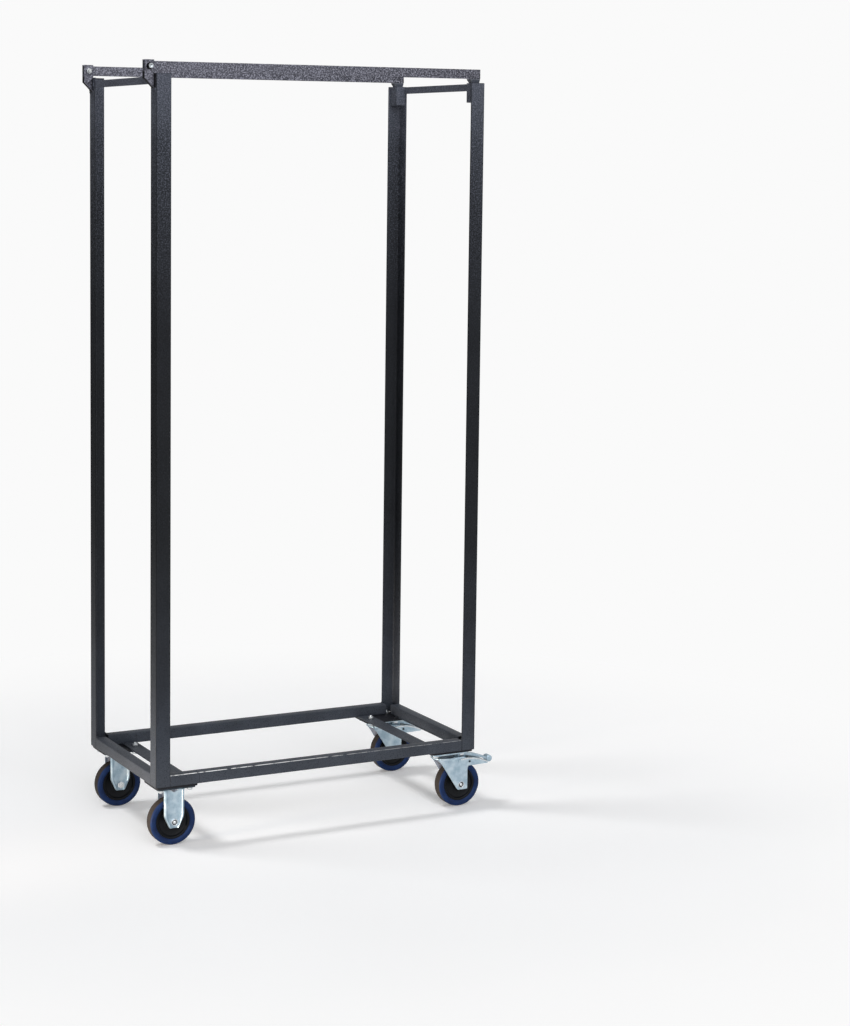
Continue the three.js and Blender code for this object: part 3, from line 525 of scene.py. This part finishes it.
def addBead(bm, start, end, radius):
    start, end = Vector(start), Vector(end)
    count = max(1, round((end - start).length / weldBead["pitch"]))
    for i in range(count + 1):
        at = start.lerp(end, i / count)
        swell = 1 + weldBead["swell"] * math.sin(weldBead["swellStep"] * i + at.x)
        bmesh.ops.create_icosphere(
            bm, subdivisions=2, radius=radius * swell,
            matrix=shifted(*at) @ Matrix.Diagonal((1, 1, weldBead["flat"], 1)),
        )


def finishWeld(name, bm, node):
    finishPiece(name, bm, node, [hammeredPostCoat], smoothAngle=60, stands=False)


for side, sign in sides.items():
    s = frameSizes
    for end, x in s["ends"].items():
        w, inwards = weldBead["corner"], s["inwards"][end]
        bm = bmesh.new()
        toeX = x + inwards * (s["leg"] + w["toeGap"])
        toeY = sign * (s["depth"] - s["leg"] - w["toeGap"])
        inX = x + inwards * (s["wall"] + w["wallGap"])
        inY = sign * (s["depth"] - s["wall"] - w["wallGap"])
        outX, outY = x + inwards * w["start"], sign * (s["depth"] - w["start"])
        low, high = (s["railTop"] + lift for lift in w["lifts"])
        # post toe to the rail top, then along the rail under the post
        addBead(bm, (toeX, outY, low), (toeX, inY, high), w["radius"])
        addBead(bm, (inX, toeY, high), (outX, toeY, low), w["radius"])
        # rail ends against the inside of the post
        w, innerY = weldBead["railEnd"], sign * (s["depth"] - s["tube"])
        addBead(bm, *((toeX, innerY, z) for z in w["heights"]), w["radius"])
        finishWeld(f"{side}_{end}_corner_weld", bm, f"{side}_{end}_post")
    bm = bmesh.new()
    w, x = weldBead["lugFoot"], s["ends"]["left"]
    addBead(bm, *((x - w["gap"], sign * y, w["height"]) for y in w["depths"]), w["radius"])
    w = weldBead["lugSide"]
    addBead(bm, *((x - w["gap"], sign * w["depth"], z) for z in w["heights"]), w["radius"])
    finishWeld(f"{side}_lug_weld", bm, f"{side}_left_post")
    for end, x in s["ends"].items():
        w, inwards = weldBead["topRail"], s["inwards"][end]
        bm = bmesh.new()
        x += inwards * s["wall"]
        y = sign * (s["depth"] - s["leg"] - w["toeGap"])
        top = s["postTop"] - w["drops"][end]
        addBead(bm, *((x + inwards * w["gap"], y, top - below) for below in w["below"]), w["radius"])
        finishWeld(f"{side}_{end}_top_weld", bm, f"{side}_{end}_post")
print("weld beads laid")

# Hinge bolt: a long round head on a flange, black on its side and flange and bright on its turned end; the
# black is black oxide on the side and painted shade on the flange. Profiles are pairs of radius and depth;
# "black" is the reach of depths with the black finish.
hingeBolt = {
    "x": -507.05, "z": 2002.0, "black": (230, 243.6), "steps": 40,
    "profile": ((0.01, 244.1), (1.6, 244.1), (2.2, 244.4), (5.5, 244.4), (6.4, 243.5), (6.4, 232), (8, 232),
                (8, 230.5), (4, 230.5), (4, 204), (3.2, 203.2), (0.01, 203.2)),
}


# Solid turned about its own middle line, with the profile's ends closed there
def addTurned(bm, centre, profile, sign, steps):
    addSpun(bm, centre, [(r, sign * y) for r, y in profile], steps)
    bmesh.ops.remove_doubles(bm, verts=bm.verts, dist=0.02)
    faceOutwards(bm)


for side, sign in sides.items():
    h = hingeBolt
    bm = bmesh.new()
    addTurned(bm, (h["x"], 0, h["z"]), h["profile"], sign, h["steps"])
    # the black reach: black oxide on the side, painted shade on the flange
    near, far = h["black"]
    for face in bm.faces:
        face.material_index = 1 if near < abs(face.calc_center_median().y) < far else 0
    node = f"{side}_hinge_bolt"
    finishPiece(node + "_turned", bm, node, [zincFastener, oxideAndShadeBlack], smoothAngle=40)
    softCopy(f"{side}_hinge_nut", [zincFastener], 0.6)
print("hinges finished")

castorPlaces = {
    "left": {"x": -433.75, "trail": 0, "endX": -1}, "right": {"x": 370.25, "trail": 43, "endX": 1},
    "y": 199.0, "axleZ": 62.5,
}
# Tyre and core: half a profile from the middle outwards, with the rounding of each corner
tyreForm = {
    "half": ((46.9, 0), (46.9, -14.2), (49.3, -16), (51.9, -16.9), (62.45, -16.9)),
    "rounds": (0, 0.6, 1.6, 1.6, 6.5), "roundSteps": 6, "tread": {"radius": 61.45, "depth": 12.6},
}
coreForm = {
    "half": ((5.15, 0), (5.15, -21), (9.5, -21), (9.5, -19.6), (15, -19.6), (17.5, -8.5), (23, -6.5),
             (35, -7.5), (39.5, -9), (41, -13.7), (46.4, -14.5)),
    "rounds": (0, 0.3, 0.5, 0.4, 1.4, 2, 3, 4, 2, 1.2, 0.4), "roundSteps": 4,
}
wheelSegments = 96


def addWheelRing(bm, centre, form):
    half, rounds = form["half"], form["rounds"]
    whole = half + tuple((r, -y) for r, y in half[:0:-1])
    profile = roundCorners(whole, rounds + rounds[:0:-1], form["roundSteps"])
    addSpun(bm, centre, profile, wheelSegments)
    faceOutwards(bm)


def makeTyre(node, centre):
    tread = tyreForm["tread"]
    bm = bmesh.new()
    addWheelRing(bm, centre, tyreForm)
    for face in bm.faces:
        off = face.calc_center_median() - Vector(centre)
        onTread = math.hypot(off.x, off.z) > tread["radius"] and abs(off.y) < tread["depth"]
        face.material_index = 1 if onTread else 0
    finishPiece(node + "_ring", bm, node, [rubberSide, rubberTread], smoothAngle=50)


def makeCore(node, centre):
    bm = bmesh.new()
    addWheelRing(bm, centre, coreForm)
    finishPiece(node + "_disc", bm, node, [blackPolyamide], smoothAngle=40)


# Axle bolt: round head with a deep ring groove and a domed middle, hexagon nut on the far end
axleForm = {
    "profile": ((0.01, 27.6), (2.4, 27.4), (3.9, 26.7), (4.6, 25.6), (4.7, 24.9), (6.9, 24.9), (7.4, 26.6),
                (7.9, 26.9), (8.6, 26.6), (9.1, 24.5), (9.1, 22.9), (4.6, 22.9), (4.6, -32.6), (3.6, -33.6),
                (0.01, -33.6)),
    "groove": {"inner": 4.6, "outer": 7.1, "top": 26.8}, "steps": 48,
    "nut": {"face": 25.3, "high": 6, "flats": 17, "chamfer": 0.9, "soft": 0.4},
}


def makeAxle(name, centre, sign):
    groove, nut = axleForm["groove"], axleForm["nut"]
    bm = bmesh.new()
    addTurned(bm, centre, axleForm["profile"], sign, axleForm["steps"])
    # the ring groove is drawn in painted shade
    for face in bm.faces:
        off = face.calc_center_median() - Vector(centre)
        between = groove["inner"] < math.hypot(off.x, off.z) < groove["outer"]
        face.material_index = 1 if between and sign * off.y < groove["top"] else 0
    node = name + "_axle_bolt"
    finishPiece(node + "_turned", bm, node, [zincFastener, zincPaintedShade], smoothAngle=38)
    bm = bmesh.new()
    ends = (centre[1] - sign * nut["face"], centre[1] - sign * (nut["face"] + nut["high"]))
    addHexagon(bm, centre[0], 0, centre[2], sorted(ends), nut["flats"], "Y", nut["chamfer"])
    node = name + "_axle_nut"
    finishPiece(node + "_hexagon", bm, node, [zincFastener], nut["soft"])


# Castor plate with rounded corners, its bolts from below and their nuts above pad or strap. "below" holds
# what shows under the plate of a left (-1) and a right (1) castor.
plateForm = {
    "long": 105, "deep": 85, "corner": 6, "cornerSteps": 5, "bottom": 154.5, "top": 158, "soft": 0.35,
    "pitchLong": 80, "pitchDeep": 60, "flats": 13, "nut": 6.5, "shank": 4, "washer": 7.6, "shankSteps": 20,
    "thread": 3, "tip": 1, "tipRadius": 3, "tailRadius": 3.2, "padTop": 163.3, "strapTop": 167.9, "gap": 0.3,
    "below": {-1: {"washer": 1.5, "hex": 6.5, "end": 1.5}, 1: {"washer": 0.9, "hex": 4.6, "end": 0}},
}


def makeCastorPlate(name, centre, endX, sign, node):
    p, below = plateForm, plateForm["below"][endX]
    bm = bmesh.new()
    x, y = centre[0], centre[1]
    halfX, halfY = p["long"] / 2, p["deep"] / 2
    addBlock(bm, (x - halfX, y - halfY, p["bottom"]), (x + halfX, y + halfY, p["top"]))
    upright = [e for e in bm.edges if abs(e.verts[0].co.z - e.verts[1].co.z) > 1]
    bevelEdges(bm, upright, p["corner"], p["cornerSteps"])
    plateFaces = set(bm.faces)
    for alongX, alongY in ((-1, -1), (-1, 1), (1, -1), (1, 1)):
        at = (x + alongX * p["pitchLong"] / 2, y + alongY * p["pitchDeep"] / 2, 0)
        seat = p["bottom"] - below["washer"]
        low = seat - below["hex"]
        addRod(bm, *at, (seat, p["bottom"] + 0.1), p["washer"], 28)
        addHexagon(bm, *at, (low, seat), p["flats"])
        if below["end"]:
            addRod(bm, *at, (low - below["end"], low + 0.5), p["tailRadius"], p["shankSteps"])
        outerX, outerY = alongX == endX, alongY == sign
        if outerX != outerY:  # a bolt under a tube ends in the pad
            addRod(bm, *at, (p["bottom"], p["padTop"] - p["gap"]), p["shank"], p["shankSteps"])
            continue
        seat = p["padTop"] + p["gap"] if outerX else p["strapTop"]
        end = seat + p["nut"] + p["thread"]
        addRod(bm, *at, (p["bottom"], end), p["shank"], p["shankSteps"])
        addRod(bm, *at, (end, end + p["tip"]), p["shank"], p["shankSteps"], endRadius=p["tipRadius"])
        addHexagon(bm, *at, (seat, seat + p["nut"]), p["flats"])
    for face in bm.faces:
        face.material_index = 1 if face in plateFaces else 0
    # the fixed castors' plates, deep under the frame, are drawn in painted shade
    plateZinc = zincPaintedShade if endX < 0 else zincSheet
    finishPiece(name, bm, node, [zincFastener, plateZinc], p["soft"])


# Pressed leg of a fixed fork: folded edges, a shallow panel between raised rims, a notch at the top.
# "slope" runs from the rim down to the panel; "rows" are height, half width and share of the depth.
pressedLeg = {
    "half": 28, "near": 20.2, "face": 26.6, "fold": 4.6, "foldSteps": 4, "rim": 1.6, "dish": 3.5,
    "slope": ((0, 0), (0.9, 1.2), (2.4, 2.3), (4.6, 3.1)), "wall": 1.7, "soft": 0.5,
    "notchHalf": 12, "notchMiddles": (142.4, 141.2, 139.8), "notchSides": (149.6, 148.2, 144.5),
    "rows": ((154.4, 34, 1), (150.6, 30.4, 1), (144.5, 28, 1), (110, 28, 1), (82, 28, 1), (77, 27, 1),
             (70, 24, 1), (60, 19.2, 1), (53, 16, 1), (49.4, 14.2, 0.99), (47.2, 12.4, 0.8),
             (46.1, 10.2, 0.3)),
    "dimple": ((0.01, 1.1), (3.4, 0.9), (4.6, 0.1), (6.0, -0.3), (6.6, 0.3), (7.2, -0.4)),
    "dimpleHeight": 108, "dimpleSteps": 36,
}


def makePressedLeg(name, centre, sign, node, dimpled):
    g = pressedLeg
    bm = bmesh.new()
    outward = g["face"] - g["near"]
    half = [(g["half"], 0)]
    for k in range(1, g["foldSteps"] + 1):
        turn = k / g["foldSteps"] * math.pi / 2
        half.append((g["half"] - g["fold"] * (1 - math.cos(turn)), outward * math.sin(turn)))
    land = g["half"] - g["fold"] - g["rim"]
    half += [(land - inward, outward - drop) for inward, drop in g["slope"]]
    half += [(g["notchHalf"], outward - g["dish"]), (0, outward - g["dish"])]
    section = [(-x, d) for x, d in half] + [(x, d) for x, d in reversed(half[:-1])]
    topZ, topHalf, _ = g["rows"][0]
    row = [bm.verts.new((x * topHalf / g["half"], sign * d, topZ)) for x, d in section]
    edges = [bm.edges.new((row[i], row[i + 1])) for i in range(len(row) - 1)]
    middles, shoulders = [row[len(half) - 1]], [(row[len(half) - 2], row[len(half)])]
    lastHalf, lastDepth, lastZ = topHalf, 1, topZ
    for z, width, depth in g["rows"][1:]:
        grown = bmesh.ops.extrude_edge_only(bm, edges=edges)["geom"]
        row = [item for item in grown if isinstance(item, bmesh.types.BMVert)]
        edges = [item for item in grown if isinstance(item, bmesh.types.BMEdge)
                 and all(v in row for v in item.verts)]
        bmesh.ops.scale(bm, vec=(width / lastHalf, depth / lastDepth, 1), verts=row)
        bmesh.ops.translate(bm, vec=(0, 0, z - lastZ), verts=row)
        ordered = sorted(row, key=lambda v: abs(v.co.x))
        middles.append(ordered[0])
        shoulders.append(ordered[1:3])
        lastHalf, lastDepth, lastZ = width, depth, z
    # zigzag under the plate
    for middle, pair, low, high in zip(middles, shoulders, g["notchMiddles"], g["notchSides"]):
        middle.co.z = low
        pair[0].co.z = pair[1].co.z = high
    bmesh.ops.translate(bm, vec=(centre[0], centre[1] + sign * g["near"], 0), verts=bm.verts)
    faceOutwards(bm, lambda: max(bm.faces, key=lambda f: f.calc_area()).normal.y * sign < 0)
    finishPiece(
        name, bm, node, [zincSheet, zincMat], g["soft"], smoothAngle=40, wall=g["wall"],
        stands=False,
    )
    if dimpled:
        bm = bmesh.new()
        middle = (centre[0], centre[1] + sign * (g["face"] - g["dish"]), g["dimpleHeight"])
        addSpun(bm, middle, [(r, sign * d) for r, d in g["dimple"]], g["dimpleSteps"], closed=False)
        faceOutwards(bm, lambda: sum(f.normal.y for f in bm.faces) * sign < 0)
        finishPiece(name + "_dimple", bm, node, [zincSheet], smoothAngle=60, stands=False)


# Swivel fork: one bent sheet with rounded shoulders and raked legs, a round crown, ears for the brake arm
swivelForm = {
    "outer": 24.9, "wall": 2.9, "top": 141.4, "shoulder": 5.5, "shoulderSteps": 6, "edge": 0.9,
    "crown": {"radius": 33, "top": 141.7, "low": 137.3}, "race": {"radius": 30, "top": 147.4},
    "tongue": {"half": 13, "end": 47, "top": 141.3, "low": 137.5}, "earDepths": (13, 10.4),
    "armPin": {"x": 44, "z": 145, "half": 14, "radius": 2.4},
    "leverPin": {"x": 68, "z": 126, "half": 29, "radius": 3.2},
    "legCorners": ((43, 141.4), (-27, 141.4), (-27, 134.8), (-19, 128.3), (32.5, 48.6), (63, 48.6), (63, 107),
                   (66, 113.4), (72.5, 118.2), (76.4, 126), (72.5, 133.4)),
    "legRounds": (0, 0, 0.8, 6, 4, 5, 4, 2, 3, 5, 4),
    "earCorners": ((37, 139), (48, 139), (48, 148.6), (40, 148.6)), "earRounds": (0, 0, 3.6, 3.6),
}


def addPin(bm, centre, pin, steps):
    reach = (centre[1] - pin["half"], centre[1] + pin["half"])
    addRod(bm, centre[0] + pin["x"], 0, pin["z"], reach, pin["radius"], steps, "Y")


def makeSwivelFork(name, centre):
    w, crown, race, tongue = swivelForm, swivelForm["crown"], swivelForm["race"], swivelForm["tongue"]
    cx, cy = centre[0], centre[1]
    node = name + "_castor_fork"
    bm = bmesh.new()
    corners = roundCorners(w["legCorners"], w["legRounds"], 5)
    addPlate(bm, [(cx + x, z) for x, z in corners], cy - w["outer"], cy + w["outer"])
    faceOutwards(bm)
    around = [f for f in bm.faces if abs(f.normal.y) < 0.5 and f.calc_center_median().z < w["top"] - 0.1]
    bmesh.ops.delete(bm, geom=around, context="FACES")
    bends = [e for e in bm.edges if len(e.link_faces) == 2]
    bevelEdges(bm, bends, w["shoulder"], w["shoulderSteps"])
    faceOutwards(bm, lambda: max(bm.faces, key=lambda f: f.calc_center_median().z).normal.z < 0)
    finishPiece(
        node + "_sheet", bm, node, [zincSheet, zincMat], w["edge"], segments=3, smoothAngle=40,
        wall=w["wall"],
    )
    bm = bmesh.new()
    addRod(bm, cx, cy, 0, (crown["low"], crown["top"]), crown["radius"], 64)
    end, half = cx + tongue["end"], tongue["half"]
    addBlock(bm, (cx, cy - half, tongue["low"]), (end, cy + half, tongue["top"]))
    for sign in (-1, 1):
        ear = roundCorners(w["earCorners"], w["earRounds"])
        addPlate(bm, [(cx + x, z) for x, z in ear], *(cy + sign * depth for depth in w["earDepths"]))
    faceOutwards(bm)
    addPin(bm, centre, w["armPin"], 24)
    finishPiece(node + "_crown", bm, node, [zincSheet], 0.5, stands=False)
    # lower race and lever pin, drawn in painted shade
    bm = bmesh.new()
    addRod(bm, cx, cy, 0, (crown["top"], race["top"]), race["radius"], 64)
    addPin(bm, centre, w["leverPin"], 28)
    finishPiece(node + "_race", bm, node, [zincPaintedShade], 0.8, stands=False)


# Upper race under the swivel plate, drawn in painted shade
upperRace = {"outer": 34, "bottom": 148, "top": 154.6, "lip": 36}


def makeUpperRace(name, centre):
    u = upperRace
    node = name + "_swivel_plate"
    bm = bmesh.new()
    addRod(bm, centre[0], centre[1], 0, (u["bottom"], u["top"]), u["outer"], 64, endRadius=u["lip"])
    finishPiece(node + "_race", bm, node, [zincPaintedShade], 0.9, stands=False)


# Release arm: a curved channel with a barrel on its pin and a rolled knob at the foot end. Its flanges are
# "sunk" into the strip and stand "proud" of its edge.
releaseArm = {
    "pinX": 44, "pinZ": 145, "tipX": 140, "tipZ": 122, "half": 10, "thick": 2.4, "barrel": 3.3,
    "flange": {"from": 51, "to": 131, "deep": 3.8, "wall": 1.8, "sunk": 0.6, "proud": 0.2},
    "knob": {"radius": 9.4, "half": 11.9, "round": 4, "roundSteps": 6, "steps": 40},
}


def armHeight(x):  # middle of the strip
    r = releaseArm
    return r["pinZ"] + (r["tipZ"] - r["pinZ"]) * ((x - r["pinX"]) / (r["tipX"] - r["pinX"])) ** 2


def addCurvedBand(bm, centreX, height, start, end, above, below, near, far, steps=16):
    stations = [start + (end - start) * k / steps for k in range(steps + 1)]
    upper = [(centreX + x, height(x) + above) for x in stations]
    lower = [(centreX + x, height(x) - below) for x in reversed(stations)]
    addPlate(bm, upper + lower, near, far)


def makeReleaseArm(name, centre):
    r, flange, knob = releaseArm, releaseArm["flange"], releaseArm["knob"]
    cx, cy = centre[0], centre[1]
    node = name + "_release_arm"
    bm = bmesh.new()
    half = r["thick"] / 2
    addCurvedBand(bm, cx, armHeight, r["pinX"], r["tipX"], half, half, cy - r["half"], cy + r["half"])
    for sign in (-1, 1):
        addCurvedBand(
            bm, cx, armHeight, flange["from"], flange["to"], half - flange["sunk"], half + flange["deep"],
            cy + sign * (r["half"] - flange["wall"]), cy + sign * (r["half"] + flange["proud"]),
        )
    faceOutwards(bm)
    addRod(bm, cx + r["pinX"], 0, r["pinZ"], (cy - r["half"], cy + r["half"]), r["barrel"], 28, "Y")
    ends = [(0.01, -knob["half"]), (knob["radius"], -knob["half"])]
    ends += [(radius, -y) for radius, y in reversed(ends)]
    profile = roundCorners(ends, (0, knob["round"], knob["round"], 0), knob["roundSteps"])
    addSpun(bm, (cx + r["tipX"], cy, r["tipZ"]), profile, knob["steps"], closed=False)
    faceOutwards(bm)
    finishPiece(node + "_channel", bm, node, [zincSheet], 0.5, smoothAngle=40)


# Brake lever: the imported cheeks, web and shoe, with a rolled lip along the top of each cheek
brakeLip = {
    "line": ((34, 132.8), (76.5, 143.3), (127, 119)), "from": 40, "to": 125.6, "above": 0.5, "below": 2.4,
    "near": 27.1, "far": 28.4,
}


def leverHeight(x):  # top line of the lever, a single curve from heel to tip through three control points
    (x0, z0), (x1, z1), (x2, z2) = brakeLip["line"]
    bend, slope = x0 - 2 * x1 + x2, 2 * (x1 - x0)
    t = (math.sqrt(slope ** 2 + 4 * bend * (x - x0)) - slope) / (2 * bend)
    return z0 + 2 * (z1 - z0) * t + (z0 - 2 * z1 + z2) * t * t


def makeBrakeLever(name, centre):
    node = name + "_brake_lever"
    softCopy(node, [zincSheet], 0.8, segments=3, smoothAngle=40)
    b = brakeLip
    bm = bmesh.new()
    for sign in (-1, 1):
        addCurvedBand(
            bm, centre[0], leverHeight, b["from"], b["to"], b["above"], b["below"],
            centre[1] + sign * b["near"], centre[1] + sign * b["far"],
        )
    faceOutwards(bm)
    finishPiece(
        node + "_lip", bm, node, [zincFastener], 0.5, segments=3, smoothAngle=40, stands=False,
    )


for side, sign in sides.items():
    for end in ("left", "right"):
        place = castorPlaces[end]
        name = f"{side}_{end}"
        head = (place["x"], sign * castorPlaces["y"], castorPlaces["axleZ"])
        axle = (place["x"] + place["trail"], head[1], head[2])
        makeTyre(name + "_tyre", axle)
        makeCore(name + "_wheel_core", axle)
        makeAxle(name, axle, sign)
        if end == "left":
            node = name + "_castor_fork"
            makeCastorPlate(node + "_plate", head, place["endX"], sign, node)
            makePressedLeg(node + "_outer_leg", head, sign, node, dimpled=False)
            makePressedLeg(node + "_inner_leg", head, -sign, node, dimpled=True)
        else:
            node = name + "_swivel_plate"
            makeCastorPlate(node + "_form", head, place["endX"], sign, node)
            makeUpperRace(name, head)
            makeSwivelFork(name, head)
            makeReleaseArm(name, head)
            softCopy(name + "_kingpin", [zincFastener], 0.4)
            makeBrakeLever(name, head)
print("castors finished")

# Studio: pale floor that fades into the white backdrop, high key, front fill, warm low panel from the left.
# "lift" is a faint glow of the floor's own, and the fade is by distance from the trolley.
studio = {
    "floor": {"size": 60, "drop": 0.0005, "tones": ("#f0f0f0", "#f4f4f4"), "toneScale": 1.1, "lift": 0.2,
              "roughness": 0.85, "gloss": 0.1, "fadeNear": 0.9, "fadeFar": 2.1},
    "cloth": {"near": 2.0, "far": 4.2, "dark": 0.12},
    "skyTone": "#fafafa", "ambient": 0.42,
    "flag": {"towards": (-0.72, 0.69, 0.0), "from": -0.1, "to": 0.75, "dark": 0.12},
    "suns": {
        "key": {"from": (-0.37, 0.2, 0.9), "strength": 1.2, "spread": 14, "tone": "#ffffff"},
        "fill": {"from": (-0.1, -0.9, 0.42), "strength": 1.2, "spread": 40, "tone": "#f4f7ff"},
    },
    "panel": {"place": (-3.4, -0.6, 0.09), "from": (-1, -0.15, 0), "size": 0.4, "power": 2.2, "spread": 16,
              "tone": "#ffeedb"},
}


def makeFloor():
    form, skyTone = studio["floor"], studio["skyTone"]
    material, tree, shader, place = startMaterial("paleStudioFloor")
    bm = bmesh.new()
    bmesh.ops.create_grid(bm, x_segments=1, y_segments=1, size=form["size"] / 2)
    floor = linkMesh("studioFloor", bm, [material])
    floor.location.z = -form["drop"]
    tone = addNode(
        tree, "TexNoise", {"Vector": place, "Scale": form["toneScale"], "Detail": 2.0},
    ).outputs["Fac"]
    colour = addNode(tree, "ValToRGB", {"Fac": tone}, zip((0.3, 0.7), form["tones"])).outputs["Color"]
    setSockets(tree, shader, {
        "Base Color": colour, "Roughness": form["roughness"], "Specular IOR Level": form["gloss"],
    })
    rays = addNode(tree, "LightPath").outputs
    glow = addNode(tree, "Emission", {"Color": skyTone, "Strength": form["lift"]}).outputs[0]
    lifted = addNode(tree, "AddShader", {0: shader.outputs[0], 1: glow}).outputs[0]
    far = addNode(tree, "VectorMath", {0: place}, operation="LENGTH").outputs["Value"]
    fade = addNode(
        tree, "MapRange", {"Value": far, "From Min": form["fadeNear"], "From Max": form["fadeFar"]},
        interpolation_type="SMOOTHSTEP",
    ).outputs["Result"]
    # black cloth lies round the sweep, seen by no camera ray: upright faces mirror it at mid height
    cloth = studio["cloth"]
    shade = addNode(
        tree, "MapRange",
        {"Value": far, "From Min": cloth["near"], "From Max": cloth["far"],
         "To Min": 1.0, "To Max": cloth["dark"]},
    ).outputs["Result"]
    shade = addNode(tree, "Math", {0: rays["Is Camera Ray"], 1: shade}, operation="MAXIMUM").outputs[0]
    backdrop = addNode(tree, "Emission", {"Color": skyTone, "Strength": shade}).outputs[0]
    seenFloor = addNode(tree, "MixShader", {0: fade, 1: lifted, 2: backdrop}).outputs[0]
    mirrored = addNode(
        tree, "Math", {0: rays["Is Camera Ray"], 1: rays["Is Glossy Ray"]}, operation="MAXIMUM",
    ).outputs[0]
    both = addNode(tree, "MixShader", {0: mirrored, 1: shader.outputs[0], 2: seenFloor}).outputs[0]
    setSockets(tree, tree.nodes["Material Output"], {"Surface": both})


def makeSky():
    skyTone = studio["skyTone"]
    world = bpy.data.worlds.new("studioSky")
    bpy.context.scene.world = world
    world.use_nodes = True
    tree = world.node_tree
    tree.nodes.clear()
    rays = addNode(tree, "LightPath").outputs
    seen = addNode(
        tree, "Math", {0: rays["Is Camera Ray"], 1: rays["Is Transmission Ray"]}, operation="MAXIMUM",
    ).outputs[0]
    # a black flag beyond the left rear corner keeps the left faces deep at the top
    flag = studio["flag"]
    towards = addNode(
        tree, "VectorMath", {0: addNode(tree, "TexCoord").outputs["Generated"], 1: flag["towards"]},
        operation="DOT_PRODUCT",
    ).outputs["Value"]
    clear = addNode(
        tree, "MapRange",
        {"Value": towards, "From Min": flag["from"], "From Max": flag["to"],
         "To Min": 1.0, "To Max": flag["dark"]},
    ).outputs["Result"]
    low = addNode(tree, "Math", {0: clear, 1: studio["ambient"]}, operation="MULTIPLY").outputs[0]
    light = addNode(tree, "Background", {"Color": "#ffffff", "Strength": low}).outputs[0]
    mirrored = addNode(tree, "Background", {"Color": skyTone, "Strength": clear}).outputs[0]
    sky = addNode(tree, "Background", {"Color": skyTone, "Strength": 1.0}).outputs[0]
    mixed = addNode(tree, "MixShader", {0: rays["Is Glossy Ray"], 1: light, 2: mirrored}).outputs[0]
    mixed = addNode(tree, "MixShader", {0: seen, 1: mixed, 2: sky}).outputs[0]
    addNode(tree, "OutputWorld", {"Surface": mixed})


def addLamp(name, kind, lamp, strength):
    data = bpy.data.lights.new(name, kind)
    data.energy = strength
    data.color = toLinear(lamp["tone"])[:3]
    holder = linkObject(name, data)
    holder.rotation_euler = Vector(lamp["from"]).to_track_quat("Z", "Y").to_euler()
    return holder


def makeLamps():
    for name, lamp in studio["suns"].items():
        sun = addLamp(name + "Lamp", "SUN", lamp, lamp["strength"])
        sun.data.angle = math.radians(lamp["spread"])
    lamp = studio["panel"]
    panel = addLamp("lowPanel", "AREA", lamp, lamp["power"])
    panel.data.shape = "SQUARE"
    panel.data.size = lamp["size"]
    panel.data.spread = math.radians(lamp["spread"])
    panel.location = lamp["place"]


# Camera fitted to the frame's edges and the wheels: a little above the middle, pitched slightly down.
# Its place is in millimetres and its turns are in radians.
view = {
    "place": (-2579.2, -5608.0, 1769.1), "yaw": 0.48888, "pitch": -0.10126, "roll": 0.01307,
    "focalPixels": 2278.8, "longSide": 1026, "shiftPixels": -118, "sensor": 36, "clipEnd": 200,
}


def makeCamera():
    data = bpy.data.cameras.new("studioCamera")
    data.sensor_width = view["sensor"]
    data.lens = view["focalPixels"] * data.sensor_width / view["longSide"]
    data.shift_y = view["shiftPixels"] / view["longSide"]
    data.clip_end = view["clipEnd"]
    camera = linkObject("studioCamera", data)
    yaw, pitch, roll = view["yaw"], view["pitch"], view["roll"]
    ahead = Vector((math.sin(yaw) * math.cos(pitch), math.cos(yaw) * math.cos(pitch), math.sin(pitch)))
    level = Vector((math.cos(yaw), -math.sin(yaw), 0))
    upward = level.cross(ahead)
    right = level * math.cos(roll) + upward * math.sin(roll)
    up = upward * math.cos(roll) - level * math.sin(roll)
    turn = Matrix((right, up, -ahead)).transposed().to_4x4()
    camera.matrix_world = shifted(*(Vector(view["place"]) * mm)) @ turn
    bpy.context.scene.camera = camera


makeFloor()
makeSky()
makeLamps()
makeCamera()
bpy.context.scene.view_settings.view_transform = "Standard"
print("studio ready")
